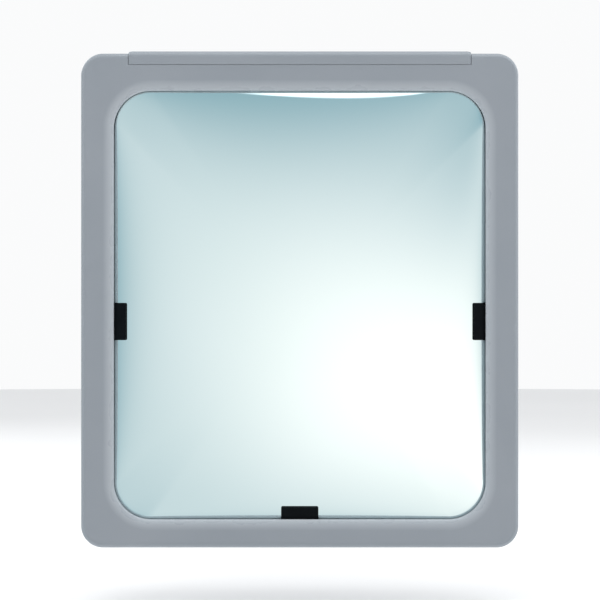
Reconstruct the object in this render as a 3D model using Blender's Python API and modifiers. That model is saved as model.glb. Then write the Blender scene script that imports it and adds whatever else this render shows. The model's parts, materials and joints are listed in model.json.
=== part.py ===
"""Convex security mirror: a grey framed mirror head on a two-axis wall bracket.

Metres, +Z up. The wall is the plane y = 0, the mirror looks along -Y, and the origin is the
centre of the wall plate's back face. Inside the head, "depth" runs backwards from the front
face of the frame, so depth 0 is that face and a larger depth is nearer the wall.
"""

import math
from collections import namedtuple

import bmesh
import bpy
from mathutils import Euler, Matrix, Vector

MM = 0.001
GAP = 0.3 * MM  # left between pieces that touch

# Head outline and the opening that shows the mirror
HEAD_WIDTH = 440 * MM
HEAD_HEIGHT = 497 * MM
HEAD_RADIUS = 22 * MM
OPENING_WIDTH = 375 * MM
OPENING_HEIGHT = 432 * MM
OPENING_RADIUS = 38 * MM
OPENING_CENTRE_Z = -4.5 * MM  # the top rail is taller than the bottom one
CORNER_STEPS = 8

# Depths through the head
FRAME_WALL = 3.0 * MM
EDGE_ROUND = 5.0 * MM
LIP_WIDTH = 9.0 * MM
LIP_FRONT = 3.2 * MM
LIP_BACK = 4.2 * MM
RIM_FRONT = 7.6 * MM
LEDGE_FRONT = 13.2 * MM
LEDGE_BACK = 15.7 * MM
PARTING = 26.0 * MM
BAND_BACK = 31.0 * MM
SHELL_BACK = 46.0 * MM
SHELL_WALL = 2.5 * MM
RECESS_OUTSET = 4.3 * MM
LEDGE_INSET = 10.0 * MM

# Rear shell, from its side wall to the plateau in the middle
BAND_ROUND = 3.0 * MM
SLOPE_INSETS = (30 * MM, 44 * MM)
SLOPE_RADII = (26 * MM, 22 * MM)
SLOPE_PROFILE = ((0, 0), (0.12, 0.06), (0.85, 0.92), (1, 1))  # shares of its width and its rise

# Mirror sheet
MIRROR_WIDTH = 374 * MM
MIRROR_HEIGHT = 435 * MM
MIRROR_CENTRE_Z = -2.5 * MM
MIRROR_RADIUS = 37.5 * MM
MIRROR_THICKNESS = 3.0 * MM
MIRROR_RISE = 20 * MM  # height of the dome over its rim
DOME_MARGIN = 2.5 * MM  # the dome's formula reaches zero this far outside the sheet
DOME_POWER = 0.62  # under 1, so that the dome bends most near its rim
RIM_BLEND = 6  # power of the term that brings the dome down to a flat rim

# Foam: the gasket's edges inset from the mirror's, and the packing over the mirror's top edge
GASKET_INSETS = (0.4 * MM, 6.0 * MM)
PACKING_LENGTH = 300 * MM
PACKING_HEIGHT = 2.8 * MM
PACKING_DEPTH = 0.9 * MM

# Clips, seen from the front, and the centre height of the two side clips
CLIP_LENGTH = 37.5 * MM
CLIP_REACH = 12.5 * MM
CLIP_THICKNESS = 2.2 * MM
CLIP_FOOT = 9 * MM
SIDE_CLIP_Z = -21 * MM
CLIP_SCREW_INSET = 4.5 * MM

# Top clamp strip
STRIP_LENGTH = 344.5 * MM
STRIP_TOP = 250.8 * MM
STRIP_FRONT_BOTTOM = 237.3 * MM
STRIP_BACK_BOTTOM = 236.0 * MM
STRIP_THICKNESS = 1.7 * MM
STRIP_FRONT = -0.4 * MM
STRIP_BACK = 33.1 * MM
STRIP_ROUND = 6.0 * MM
STRIP_SCREW_PLACE = (120 * MM, 241.0 * MM)

# Wall bracket, arm and fork
PAN_AXIS_Y = -36 * MM
TILT_AXIS_Y = -146 * MM
TILT_AXIS_DEPTH = 78 * MM
PLATE = (90 * MM, 130 * MM, 4 * MM)
PLATE_RADIUS = 10 * MM
PLATE_HOLES = (30 * MM, 50 * MM, 3.5 * MM)  # half spacings and hole radius
EAR_THICKNESS = 4 * MM
EAR_RADIUS = 16 * MM
BARREL_RADIUS = 15 * MM
BARREL_HALF = 16 * MM
DISC_THICKNESS = 1.2 * MM
EAR_INNER = BARREL_HALF + DISC_THICKNESS + 2 * GAP
EAR_OUTER = EAR_INNER + EAR_THICKNESS
FORK_BASE = (84 * MM, 84 * MM, 3 * MM)
FORK_HOLES = 32 * MM
INNER_PLATE = (110 * MM, 110 * MM, 2.5 * MM)
# Arm bar, in mm: distance from the pan axis, half width and half height
ARM_SECTIONS = ((8, 6, 11), (30, 6.5, 10), (55, 8, 8.5), (80, 10, 7), (102, 11, 6))
ARM_CORNER = 3 * MM

# Fasteners
BOLT_RADIUS = 4 * MM
BOLT_BORE = BOLT_RADIUS + GAP
WASHER_RADIUS = 8.5 * MM
WASHER_THICKNESS = 1.6 * MM
HEX_RADIUS = 7.5 * MM
HEX_HEIGHT = 5.3 * MM
KNOB_RADIUS = 18 * MM
KNOB_LOBE = 2.5 * MM
KNOB_LOBES = 5
# Height over the knob's seat in mm, share of its radius and share of its lobes
KNOB_LEVELS = ((0, 0.50, 0), (5, 0.50, 0), (7, 0.90, 0.6), (9, 1.0, 1), (17, 1.0, 1), (20, 0.86, 0.8))
INSERT_RADIUS = 6 * MM
INSERT_LENGTH = 13 * MM
BOSS_RADIUS = 4.5 * MM
# Insets of the frame screws from the head's outline
CORNER_SCREW_INSET = 17 * MM
SIDE_SCREW_INSET = 14 * MM
TOP_SCREW_INSET = 17.5 * MM
BOTTOM_SCREW_INSET = 11.9 * MM
ROUND_STEPS = 24
SCREW_STEPS = 12

Section = namedtuple("Section", "half_width half_height radius depth centre_z")
ScrewSize = namedtuple("ScrewSize", "shank head height length")

FRAME_SCREW = ScrewSize(1.75 * MM, 3.5 * MM, 2.2 * MM, 14 * MM)
CLIP_SCREW = ScrewSize(1.45 * MM, 2.9 * MM, 1.8 * MM, 5.0 * MM)
STRIP_SCREW = ScrewSize(1.45 * MM, 2.9 * MM, 1.6 * MM, 6.0 * MM)
FORK_SCREW = ScrewSize(2.5 * MM, 4.75 * MM, 3.0 * MM, 11 * MM)


# ---------------------------------------------------------------- scene helpers


def clear_scene():
    for obj in list(bpy.data.objects):
        bpy.data.objects.remove(obj, do_unlink=True)


def new_collection(name, hidden=False):
    collection = bpy.data.collections.new(name)
    bpy.context.scene.collection.children.link(collection)
    collection.hide_render = hidden
    return collection


def new_material(name, colour, roughness, metallic=0.0):
    material = bpy.data.materials.new(name)
    material.use_nodes = True
    shader = material.node_tree.nodes["Principled BSDF"]
    shader.inputs["Base Color"].default_value = (*colour, 1.0)
    shader.inputs["Roughness"].default_value = roughness
    shader.inputs["Metallic"].default_value = metallic
    return material


def add_part(name, mesh, material, location=(0, 0, 0), rotation=(0, 0, 0), smooth=True):
    obj = bpy.data.objects.new(name, mesh)
    parts.objects.link(obj)
    obj.location = location
    obj.rotation_euler = rotation
    if not mesh.materials:
        mesh.materials.append(material)
    if smooth and mesh.polygons:
        mesh.shade_smooth()
        mesh.set_sharp_from_angle(angle=math.radians(35))
    return obj


def add_cutter(name, mesh, location=(0, 0, 0), rotation=(0, 0, 0)):
    obj = bpy.data.objects.new(name, mesh)
    cutters.objects.link(obj)
    obj.location = location
    obj.rotation_euler = rotation
    obj.hide_render = True
    obj.display_type = "WIRE"
    return obj


def boolean(obj, other, operation):
    modifier = obj.modifiers.new(f"{operation.lower()}_{other.name}", "BOOLEAN")
    modifier.operation = operation
    modifier.solver = "EXACT"
    modifier.object = other


def solidify(obj, thickness, offset):
    modifier = obj.modifiers.new("Solidify", "SOLIDIFY")
    modifier.thickness = thickness
    modifier.offset = offset
    modifier.use_even_offset = True


# ---------------------------------------------------------------- shape helpers


def mesh_from(name, build):
    """A mesh made by a function that fills a bmesh."""
    bm = bmesh.new()
    build(bm)
    bmesh.ops.recalc_face_normals(bm, faces=bm.faces)
    mesh = bpy.data.meshes.new(name)
    bm.to_mesh(mesh)
    bm.free()
    return mesh


def rounded_rectangle(half_width, half_height, radius, steps=CORNER_STEPS, side_steps=1):
    """Points (x, z) anticlockwise from the right-hand side, with round corners."""
    corners = []
    for corner, (sx, sz) in enumerate(((1, 1), (-1, 1), (-1, -1), (1, -1))):
        arc = []
        for step in range(steps + 1):
            angle = math.pi / 2 * (corner + step / steps)
            x = sx * (half_width - radius) + radius * math.cos(angle)
            z = sz * (half_height - radius) + radius * math.sin(angle)
            arc.append((x, z))
        corners.append(arc)
    points = []
    for arc, following in zip(corners, corners[1:] + corners[:1]):
        points += arc
        start, end = Vector(arc[-1]), Vector(following[0])
        points += [tuple(start.lerp(end, i / side_steps)) for i in range(1, side_steps)]
    return points


def skin(bm, rings, closed=False, cap_first=False, cap_last=False):
    """Quads between neighbouring rings of points, with optional end faces."""
    loops = [[bm.verts.new(point) for point in ring] for ring in rings]
    pairs = list(zip(loops, loops[1:]))
    if closed:
        pairs.append((loops[-1], loops[0]))
    for first, second in pairs:
        for i, vert in enumerate(first):
            j = (i + 1) % len(first)
            bm.faces.new((vert, first[j], second[j], second[i]))
    if cap_first:
        bm.faces.new(loops[0])
    if cap_last:
        bm.faces.new(loops[-1])
    return loops


def extruded_outline(name, points, half_length):
    """A flat outline as a 2D curve, extruded both ways along its local Z, as a welded mesh."""
    curve = bpy.data.curves.new(name, "CURVE")
    curve.dimensions = "2D"
    curve.fill_mode = "BOTH"
    curve.extrude = half_length
    spline = curve.splines.new("POLY")
    spline.points.add(len(points) - 1)
    for point, (x, y) in zip(spline.points, points):
        point.co = (x, y, 0, 1)
    spline.use_cyclic_u = True
    obj = bpy.data.objects.new(name, curve)
    cutters.objects.link(obj)
    bpy.context.view_layer.update()
    evaluated = obj.evaluated_get(bpy.context.evaluated_depsgraph_get())
    mesh = bpy.data.meshes.new_from_object(evaluated)
    bpy.data.objects.remove(obj, do_unlink=True)
    bpy.data.curves.remove(curve)
    bm = bmesh.new()
    bm.from_mesh(mesh)
    bmesh.ops.remove_doubles(bm, verts=bm.verts, dist=0.001 * MM)
    bmesh.ops.recalc_face_normals(bm, faces=bm.faces)
    bm.to_mesh(mesh)
    bm.free()
    mesh.name = name
    return mesh


def turned_mesh(name, profile):
    """Edges of a profile of (radius, height) points, from the top down its outer side."""
    mesh = bpy.data.meshes.new(name)
    edges = [(i, i + 1) for i in range(len(profile) - 1)]
    mesh.from_pydata([(radius, 0, height) for radius, height in profile], edges, [])
    return mesh


def turn(obj, steps=ROUND_STEPS):
    """Spins the profile about the local Z axis."""
    modifier = obj.modifiers.new("Screw", "SCREW")
    modifier.angle = math.tau
    modifier.steps = steps
    modifier.render_steps = steps
    modifier.use_merge_vertices = True
    modifier.merge_threshold = 0.001 * MM


def cylinders_mesh(name, places, radius, half_length, segments=ROUND_STEPS):
    """Equal cylinders along local Z, one at each (x, y, z) place, in one mesh."""

    def build(bm):
        for place in places:
            made = bmesh.ops.create_cone(
                bm,
                cap_ends=True,
                segments=segments,
                radius1=radius,
                radius2=radius,
                depth=2 * half_length,
            )
            bmesh.ops.translate(bm, vec=place, verts=made["verts"])

    return mesh_from(name, build)


def depth_to_y(depth):
    return TILT_AXIS_Y + depth - TILT_AXIS_DEPTH


def section_points(section):
    outline = rounded_rectangle(section.half_width, section.half_height, section.radius)
    y = depth_to_y(section.depth)
    return [(x, y, z + section.centre_z) for x, z in outline]


def head_section(inset, depth, radius=None):
    """A section parallel to the head's outline."""
    radius = HEAD_RADIUS - inset if radius is None else radius
    return Section(HEAD_WIDTH / 2 - inset, HEAD_HEIGHT / 2 - inset, radius, depth, 0.0)


def opening_section(outset, depth):
    """A section parallel to the opening's outline."""
    return Section(
        OPENING_WIDTH / 2 + outset,
        OPENING_HEIGHT / 2 + outset,
        OPENING_RADIUS + outset,
        depth,
        OPENING_CENTRE_Z,
    )


def mirror_section(inset, depth):
    """A section parallel to the mirror's outline."""
    return Section(
        MIRROR_WIDTH / 2 - inset,
        MIRROR_HEIGHT / 2 - inset,
        MIRROR_RADIUS - inset,
        depth,
        MIRROR_CENTRE_Z,
    )


def facing_wall():
    """Turns a local +Z axis to +Y, so that a screw's head faces the wall."""
    return (-math.pi / 2, 0, 0)


def facing_side():
    """Turns a local +Z axis to +X."""
    return (0, math.pi / 2, 0)


# ---------------------------------------------------------------- head


def frame_screw_places():
    """(x, z) of the eight screws that hold the rear shell."""
    half_width, half_height = HEAD_WIDTH / 2, HEAD_HEIGHT / 2
    corner_x, corner_z = half_width - CORNER_SCREW_INSET, half_height - CORNER_SCREW_INSET
    corners = [(sx * corner_x, sz * corner_z) for sx in (-1, 1) for sz in (-1, 1)]
    side, top = half_width - SIDE_SCREW_INSET, half_height - TOP_SCREW_INSET
    bottom = half_height - BOTTOM_SCREW_INSET
    return corners + [(-side, 0.0), (side, 0.0), (0.0, top), (0.0, -bottom)]


def clip_frames():
    """(name, x, z, turn about Y) of each clip, at the middle of the opening's edge it hooks over."""
    half_width = OPENING_WIDTH / 2
    bottom = OPENING_CENTRE_Z - OPENING_HEIGHT / 2
    return (
        ("left", -half_width, SIDE_CLIP_Z, 0.0),
        ("right", half_width, SIDE_CLIP_Z, math.pi),
        ("bottom", 0.0, bottom, -math.pi / 2),
    )


def strip_path(inset):
    """Points (depth, z) parallel to the strip's outside, from its front foot over the top."""
    front, back = STRIP_FRONT + inset, STRIP_BACK - inset
    top, radius = STRIP_TOP - inset, STRIP_ROUND - inset
    points = [(front, STRIP_FRONT_BOTTOM)]
    for step in range(7):
        angle = math.pi / 2 * step / 6
        points.append((front + radius * (1 - math.cos(angle)), top - radius * (1 - math.sin(angle))))
    for step in range(7):
        angle = math.pi / 2 * step / 6
        points.append((back - radius * (1 - math.sin(angle)), top - radius * (1 - math.cos(angle))))
    points.append((back, STRIP_BACK_BOTTOM))
    return points


def strip_cutter():
    """Clears the strip's place out of the frame and the shell, a gap larger all round."""
    inner = strip_path(STRIP_THICKNESS + GAP)
    inner[0] = (inner[0][0], STRIP_FRONT_BOTTOM - GAP)
    inner[-1] = (inner[-1][0], STRIP_BACK_BOTTOM - GAP)
    beyond = 5 * MM
    low_front, low_back = inner[0][1], inner[-1][1]
    outside = [
        (STRIP_BACK + beyond, low_back),
        (STRIP_BACK + beyond, STRIP_TOP + beyond),
        (STRIP_FRONT - beyond, STRIP_TOP + beyond),
        (STRIP_FRONT - beyond, low_front),
    ]
    mesh = extruded_outline("strip_cutter", inner + outside, STRIP_LENGTH / 2 + GAP)
    return add_cutter("strip_cutter", mesh, *along_x())


def along_x():
    """Location and rotation that put an outline of (depth, z) points across the head."""
    return (0, depth_to_y(0), 0), (math.pi / 2, 0, math.pi / 2)


def make_front_frame(material):
    wall = FRAME_WALL
    sections = [head_section(0, PARTING), head_section(0, EDGE_ROUND)]
    for step in (1, 2, 3, 4):
        angle = math.pi / 2 * step / 4
        inset = EDGE_ROUND * (1 - math.cos(angle))
        sections.append(head_section(inset, EDGE_ROUND * (1 - math.sin(angle))))
    for step in range(5):
        angle = math.pi / 2 * step / 4
        outset = LIP_WIDTH * (1 - math.sin(angle))
        sections.append(opening_section(outset, LIP_FRONT * (1 - math.cos(angle))))
    recess_wall = RECESS_OUTSET + wall
    sections += [
        opening_section(0, LIP_BACK),
        opening_section(RECESS_OUTSET, LIP_BACK),
        opening_section(RECESS_OUTSET, LEDGE_FRONT),
        opening_section(-LEDGE_INSET, LEDGE_FRONT),
        opening_section(-LEDGE_INSET, LEDGE_BACK),
        opening_section(recess_wall, LEDGE_BACK),
        opening_section(recess_wall, wall),
        head_section(2 * wall, wall),
        head_section(wall, 2 * wall),
        head_section(wall, PARTING),
    ]
    rings = [section_points(section) for section in sections]
    frame = add_part(
        "front_frame",
        mesh_from("front_frame", lambda bm: skin(bm, rings, closed=True)),
        material,
    )
    places = [(x, -z, 0) for x, z in frame_screw_places()]
    boss_front, boss_back = 1.5 * MM, BAND_BACK - SHELL_WALL - GAP
    bosses = add_cutter(
        "frame_bosses",
        cylinders_mesh("frame_bosses", places, BOSS_RADIUS, (boss_back - boss_front) / 2, 16),
        (0, depth_to_y((boss_front + boss_back) / 2), 0),
        facing_wall(),
    )
    boolean(frame, bosses, "UNION")
    pilots = add_cutter(
        "frame_pilots",
        cylinders_mesh("frame_pilots", places, FRAME_SCREW.shank + GAP, 11 * MM, 16),
        (0, depth_to_y(boss_back - 5 * MM), 0),
        facing_wall(),
    )
    boolean(frame, pilots, "DIFFERENCE")
    boolean(frame, clip_slots_cutter(), "DIFFERENCE")
    boolean(frame, clip_holes_cutter(), "DIFFERENCE")
    boolean(frame, strip_cutter(), "DIFFERENCE")
    return frame


def clip_slots_cutter():
    """Slots in the ledge that let the shank of each clip through."""
    shank_inset = -0.5 * MM - CLIP_THICKNESS / 2
    half_size = (CLIP_THICKNESS / 2 + GAP, 5 * MM, CLIP_LENGTH / 2 + GAP)

    def build(bm):
        for _, x, z, spin in clip_frames():
            made = bmesh.ops.create_cube(bm, size=2.0)["verts"]
            bmesh.ops.scale(bm, vec=half_size, verts=made)
            bmesh.ops.translate(bm, vec=(shank_inset, 0, 0), verts=made)
            rotate_about_y(bm, made, spin)
            bmesh.ops.translate(bm, vec=(x, depth_to_y(LEDGE_FRONT + 2 * MM), z), verts=made)

    return add_cutter("clip_slots", mesh_from("clip_slots", build))


def rotate_about_y(bm, verts, angle):
    bmesh.ops.rotate(bm, cent=(0, 0, 0), matrix=Matrix.Rotation(angle, 3, "Y"), verts=verts)


def clip_screw_place(x, z, spin):
    """(x, z) of a clip's screw, inboard of the opening's edge."""
    inset = CLIP_SCREW_INSET
    return x + inset * math.cos(spin), z - inset * math.sin(spin)


def clip_holes_cutter():
    places = []
    for _, x, z, spin in clip_frames():
        hole_x, hole_z = clip_screw_place(x, z, spin)
        places.append((hole_x, -hole_z, 0))
    mesh = cylinders_mesh("clip_holes", places, CLIP_SCREW.shank + GAP, 6 * MM, 16)
    return add_cutter("clip_holes", mesh, (0, depth_to_y(LEDGE_BACK), 0), facing_wall())


def make_rear_shell(material):
    sections = [head_section(0, PARTING + GAP), head_section(0, BAND_BACK - BAND_ROUND)]
    for degrees in (30, 60, 90):
        angle = math.radians(degrees)
        inset = BAND_ROUND * (1 - math.cos(angle))
        sections.append(head_section(inset, BAND_BACK - BAND_ROUND * (1 - math.sin(angle))))
    for share, rise in SLOPE_PROFILE:
        inset, radius = (start + share * (end - start) for start, end in (SLOPE_INSETS, SLOPE_RADII))
        depth = BAND_BACK + rise * (SHELL_BACK - BAND_BACK)
        sections.append(head_section(inset, depth, radius))
    rings = [section_points(section) for section in sections]
    shell = add_part(
        "rear_shell",
        mesh_from("rear_shell", lambda bm: skin(bm, rings, cap_last=True)),
        material,
    )
    solidify(shell, SHELL_WALL, -1)
    frame_places = [(x, -z, 0) for x, z in frame_screw_places()]
    frame_holes = cylinders_mesh("shell_holes", frame_places, FRAME_SCREW.shank + GAP, 8 * MM, 16)
    location = (0, depth_to_y(BAND_BACK), 0)
    boolean(shell, add_cutter("shell_holes", frame_holes, location, facing_wall()), "DIFFERENCE")
    strip_x, strip_z = STRIP_SCREW_PLACE
    strip_places = [(-strip_x, -strip_z, 0), (strip_x, -strip_z, 0)]
    strip_holes = cylinders_mesh(
        "strip_holes", strip_places, STRIP_SCREW.shank + GAP, 8 * MM, 16
    )
    boolean(shell, add_cutter("strip_holes", strip_holes, location, facing_wall()), "DIFFERENCE")
    boolean(shell, fork_holes_cutter(), "DIFFERENCE")
    return shell


def fork_hole_places():
    return [(sx * FORK_HOLES, sz * FORK_HOLES) for sx in (-1, 1) for sz in (-1, 1)]


def fork_holes_cutter():
    """Holes for the fork's screws through base plate, shell and inner plate."""
    existing = bpy.data.objects.get("fork_holes")
    if existing:
        return existing
    places = [(x, -z, 0) for x, z in fork_hole_places()]
    mesh = cylinders_mesh("fork_holes", places, FORK_SCREW.shank + GAP, 12 * MM, 16)
    return add_cutter("fork_holes", mesh, (0, depth_to_y(SHELL_BACK), 0), facing_wall())


def pillow(x, z):
    """A pillow over a rectangle a little larger than the mirror: 1 in the middle, 0 at its edges."""
    half_width = MIRROR_WIDTH / 2 + DOME_MARGIN
    half_height = MIRROR_HEIGHT / 2 + DOME_MARGIN
    return ((1 - (x / half_width) ** 2) * (1 - (z / half_height) ** 2)) ** DOME_POWER


def mirror_rise(x, z, share):
    """Height of the dome over its rim, at this share of the way from its middle to a rim point."""
    return MIRROR_RISE * (pillow(x * share, z * share) - share**RIM_BLEND * pillow(x, z))


def dome_ring(outline, share, behind):
    """The outline shrunk towards the mirror's middle and laid on the dome, or that far behind it."""
    ring = []
    for x, z in outline:
        depth = RIM_FRONT + behind - mirror_rise(x, z, share)
        ring.append((x * share, depth_to_y(depth), z * share + MIRROR_CENTRE_Z))
    return ring


def make_mirror_panel(material):
    """A sheet of even depth, made of rings from its middle over the front to its middle behind."""
    outline = rounded_rectangle(MIRROR_WIDTH / 2, MIRROR_HEIGHT / 2, MIRROR_RADIUS, 5, 8)
    shares = (0.001, 0.17, 0.34, 0.5, 0.65, 0.77, 0.86, 0.925, 0.965, 0.987, 1.0)
    rings = [dome_ring(outline, share, 0) for share in shares]
    rings += [dome_ring(outline, share, MIRROR_THICKNESS) for share in reversed(shares)]
    mesh = mesh_from("mirror_panel", lambda bm: skin(bm, rings, cap_first=True, cap_last=True))
    return add_part("mirror_panel", mesh, material)


def make_mirror_gasket(material):
    front, back = RIM_FRONT + MIRROR_THICKNESS + GAP, LEDGE_FRONT - GAP
    outer, inner = GASKET_INSETS
    sections = (
        mirror_section(outer, front),
        mirror_section(inner, front),
        mirror_section(inner, back),
        mirror_section(outer, back),
    )
    rings = [section_points(section) for section in sections]
    mesh = mesh_from("mirror_gasket", lambda bm: skin(bm, rings, closed=True))
    return add_part("mirror_gasket", mesh, material, smooth=False)


def make_top_edge_packing(material):
    """A foam strip behind the lip, over the mirror's top edge."""
    depth = LIP_BACK + GAP + PACKING_DEPTH / 2
    z = OPENING_CENTRE_Z + OPENING_HEIGHT / 2 + GAP + PACKING_HEIGHT / 2

    def build(bm):
        made = bmesh.ops.create_cube(bm, size=1.0)["verts"]
        bmesh.ops.scale(bm, vec=(PACKING_LENGTH, PACKING_DEPTH, PACKING_HEIGHT), verts=made)

    mesh = mesh_from("top_edge_packing", build)
    location = (0, depth_to_y(depth), z)
    return add_part("top_edge_packing", mesh, material, location, smooth=False)


def make_top_clamp_strip(material):
    outline = strip_path(0) + strip_path(STRIP_THICKNESS)[::-1]
    mesh = extruded_outline("top_clamp_strip", outline, STRIP_LENGTH / 2)
    strip = add_part("top_clamp_strip", mesh, material, *along_x())
    strip_x, strip_z = STRIP_SCREW_PLACE
    holes = cylinders_mesh(
        "strip_screw_holes",
        [(-strip_x, -strip_z, 0), (strip_x, -strip_z, 0)],
        STRIP_SCREW.shank + GAP,
        5 * MM,
        16,
    )
    location = (0, depth_to_y(STRIP_BACK), 0)
    boolean(strip, add_cutter("strip_screw_holes", holes, location, facing_wall()), "DIFFERENCE")
    return strip


def clip_outline(rim_x, rim_z):
    """Outline (inboard, depth) of a hook: nose over the mirror, shank, foot behind the ledge.

    The nose follows the dome from a point in the middle of one of the rim's sides.
    """
    thickness = CLIP_THICKNESS
    mirror_edge = 0.5 * MM
    under, over = [], []
    for run in (mirror_edge, 2 * MM, 4 * MM, 7 * MM, CLIP_REACH):
        rise = mirror_rise(rim_x, rim_z, 1 - (run - mirror_edge) / math.hypot(rim_x, rim_z))
        under.append((run, RIM_FRONT - GAP - rise))
        over.append((run, RIM_FRONT - GAP - thickness - rise))
    shank_in, shank_out = -0.5 * MM, -0.5 * MM - thickness
    shoulder = LIP_BACK + GAP
    foot_front, foot_back = LEDGE_BACK + GAP, LEDGE_BACK + GAP + thickness
    hook = [
        (shank_out, shoulder),
        (shank_out, foot_back),
        (CLIP_FOOT, foot_back),
        (CLIP_FOOT, foot_front),
        (shank_in, foot_front),
        (shank_in, shoulder + thickness),
    ]
    return hook + under + over[::-1]


def make_clips(material):
    """Each outline lies in (X, depth) and is extruded along the opening's edge."""
    holes = clip_holes_cutter()
    for name, x, z, spin in clip_frames():
        rim_x, rim_z = (0, MIRROR_HEIGHT / 2) if name == "bottom" else (MIRROR_WIDTH / 2, 0)
        outline = clip_outline(rim_x, rim_z)
        mesh = extruded_outline(f"clip_{name}", outline, CLIP_LENGTH / 2)
        clip = add_part(f"clip_{name}", mesh, material, (x, depth_to_y(0), z), (0, spin, 0))
        boolean(clip, holes, "DIFFERENCE")


def screw_mesh(name, size):
    """A domed pan head on a plain shank, with its seat at height 0 and its shank pointing down."""
    profile = [
        (0, size.height),
        (0.6 * size.head, 0.92 * size.height),
        (0.92 * size.head, 0.6 * size.height),
        (size.head, 0.2 * size.height),
        (size.head, 0),
        (size.shank, 0),
        (size.shank, -size.length + size.shank),
        (0.4 * size.shank, -size.length),
        (0, -size.length),
    ]
    return turned_mesh(name, profile)


def add_screws(places, mesh, material, depth):
    """Screws with heads towards the wall, seated a gap behind the given depth."""
    for name, (x, z) in places.items():
        screw = add_part(name, mesh, material, (x, depth_to_y(depth) + GAP, z), facing_wall())
        turn(screw, SCREW_STEPS)


def make_screws(zinc):
    frame_places = {f"frame_screw_{i}": p for i, p in enumerate(frame_screw_places(), 1)}
    add_screws(frame_places, screw_mesh("frame_screw", FRAME_SCREW), zinc, BAND_BACK)
    clip_places = {
        f"clip_screw_{name}": clip_screw_place(x, z, spin) for name, x, z, spin in clip_frames()
    }
    foot_back = LEDGE_BACK + GAP + CLIP_THICKNESS
    add_screws(clip_places, screw_mesh("clip_screw", CLIP_SCREW), zinc, foot_back)
    x, z = STRIP_SCREW_PLACE
    strip_places = {"strip_screw_left": (-x, z), "strip_screw_right": (x, z)}
    add_screws(strip_places, screw_mesh("strip_screw", STRIP_SCREW), zinc, STRIP_BACK)
    fork_places = {f"fork_screw_{i}": p for i, p in enumerate(fork_hole_places(), 1)}
    base_back = SHELL_BACK + GAP + FORK_BASE[2]
    add_screws(fork_places, screw_mesh("fork_screw", FORK_SCREW), zinc, base_back)


# ---------------------------------------------------------------- bracket


def plate_mesh(name, width, height, thickness, radius):
    """A rounded plate in the local XY plane, centred on it."""
    outline = rounded_rectangle(width / 2, height / 2, radius, 5)
    return extruded_outline(name, outline, thickness / 2)


def ear_mesh(name, reach, radius, thickness):
    """A plate that runs from x = 0 to a round end centred at x = reach, in the local XY plane."""
    points = [(0, radius), (0, -radius)]
    for step in range(13):
        angle = -math.pi / 2 + math.pi * step / 12
        points.append((reach + radius * math.cos(angle), radius * math.sin(angle)))
    return extruded_outline(name, points, thickness / 2)


def make_inner_mount_plate(material):
    width, height, thickness = INNER_PLATE
    depth = SHELL_BACK - SHELL_WALL - GAP - thickness / 2
    plate = add_part(
        "inner_mount_plate",
        plate_mesh("inner_mount_plate", width, height, thickness, 8 * MM),
        material,
        (0, depth_to_y(depth), 0),
        facing_wall(),
    )
    boolean(plate, fork_holes_cutter(), "DIFFERENCE")


def make_tilt_fork(material):
    width, height, thickness = FORK_BASE
    depth = SHELL_BACK + GAP + thickness / 2
    fork = add_part(
        "tilt_fork",
        plate_mesh("tilt_fork", width, height, thickness, 8 * MM),
        material,
        (0, depth_to_y(depth), 0),
        facing_wall(),
    )
    reach = TILT_AXIS_DEPTH - depth
    mesh = ear_mesh("fork_ear", reach, EAR_RADIUS, EAR_THICKNESS)
    for name, side in (("left", -1), ("right", 1)):
        x = side * (EAR_INNER + EAR_THICKNESS / 2)
        place = (x, depth_to_y(depth), 0)
        ear = add_cutter(f"fork_ear_{name}", mesh, place, (math.pi / 2, 0, math.pi / 2))
        boolean(fork, ear, "UNION")
    bore = cylinders_mesh("tilt_bore", [(0, 0, 0)], BOLT_BORE, 30 * MM)
    boolean(fork, add_cutter("tilt_bore", bore, (0, TILT_AXIS_Y, 0), facing_side()), "DIFFERENCE")
    boolean(fork, fork_holes_cutter(), "DIFFERENCE")


def make_wall_bracket(material):
    width, height, thickness = PLATE
    bracket = add_part(
        "wall_bracket",
        plate_mesh("wall_bracket", width, height, thickness, PLATE_RADIUS),
        material,
        (0, -thickness / 2, 0),
        facing_wall(),
    )
    mesh = ear_mesh("wall_ear", -PAN_AXIS_Y - thickness / 2, EAR_RADIUS, EAR_THICKNESS)
    for name, side in (("upper", 1), ("lower", -1)):
        z = side * (EAR_INNER + EAR_THICKNESS / 2)
        ear = add_cutter(f"wall_ear_{name}", mesh, (0, -thickness / 2, z), (0, 0, -math.pi / 2))
        boolean(bracket, ear, "UNION")
    bore = cylinders_mesh("pan_bore", [(0, 0, 0)], BOLT_BORE, 30 * MM)
    boolean(bracket, add_cutter("pan_bore", bore, (0, PAN_AXIS_Y, 0)), "DIFFERENCE")
    half_x, half_z, radius = PLATE_HOLES
    places = [(sx * half_x, sz * half_z, 0) for sx in (-1, 1) for sz in (-1, 1)]
    holes = cylinders_mesh("wall_holes", places, radius, 5 * MM)
    boolean(bracket, add_cutter("wall_holes", holes, (0, 0, 0), facing_wall()), "DIFFERENCE")


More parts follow.
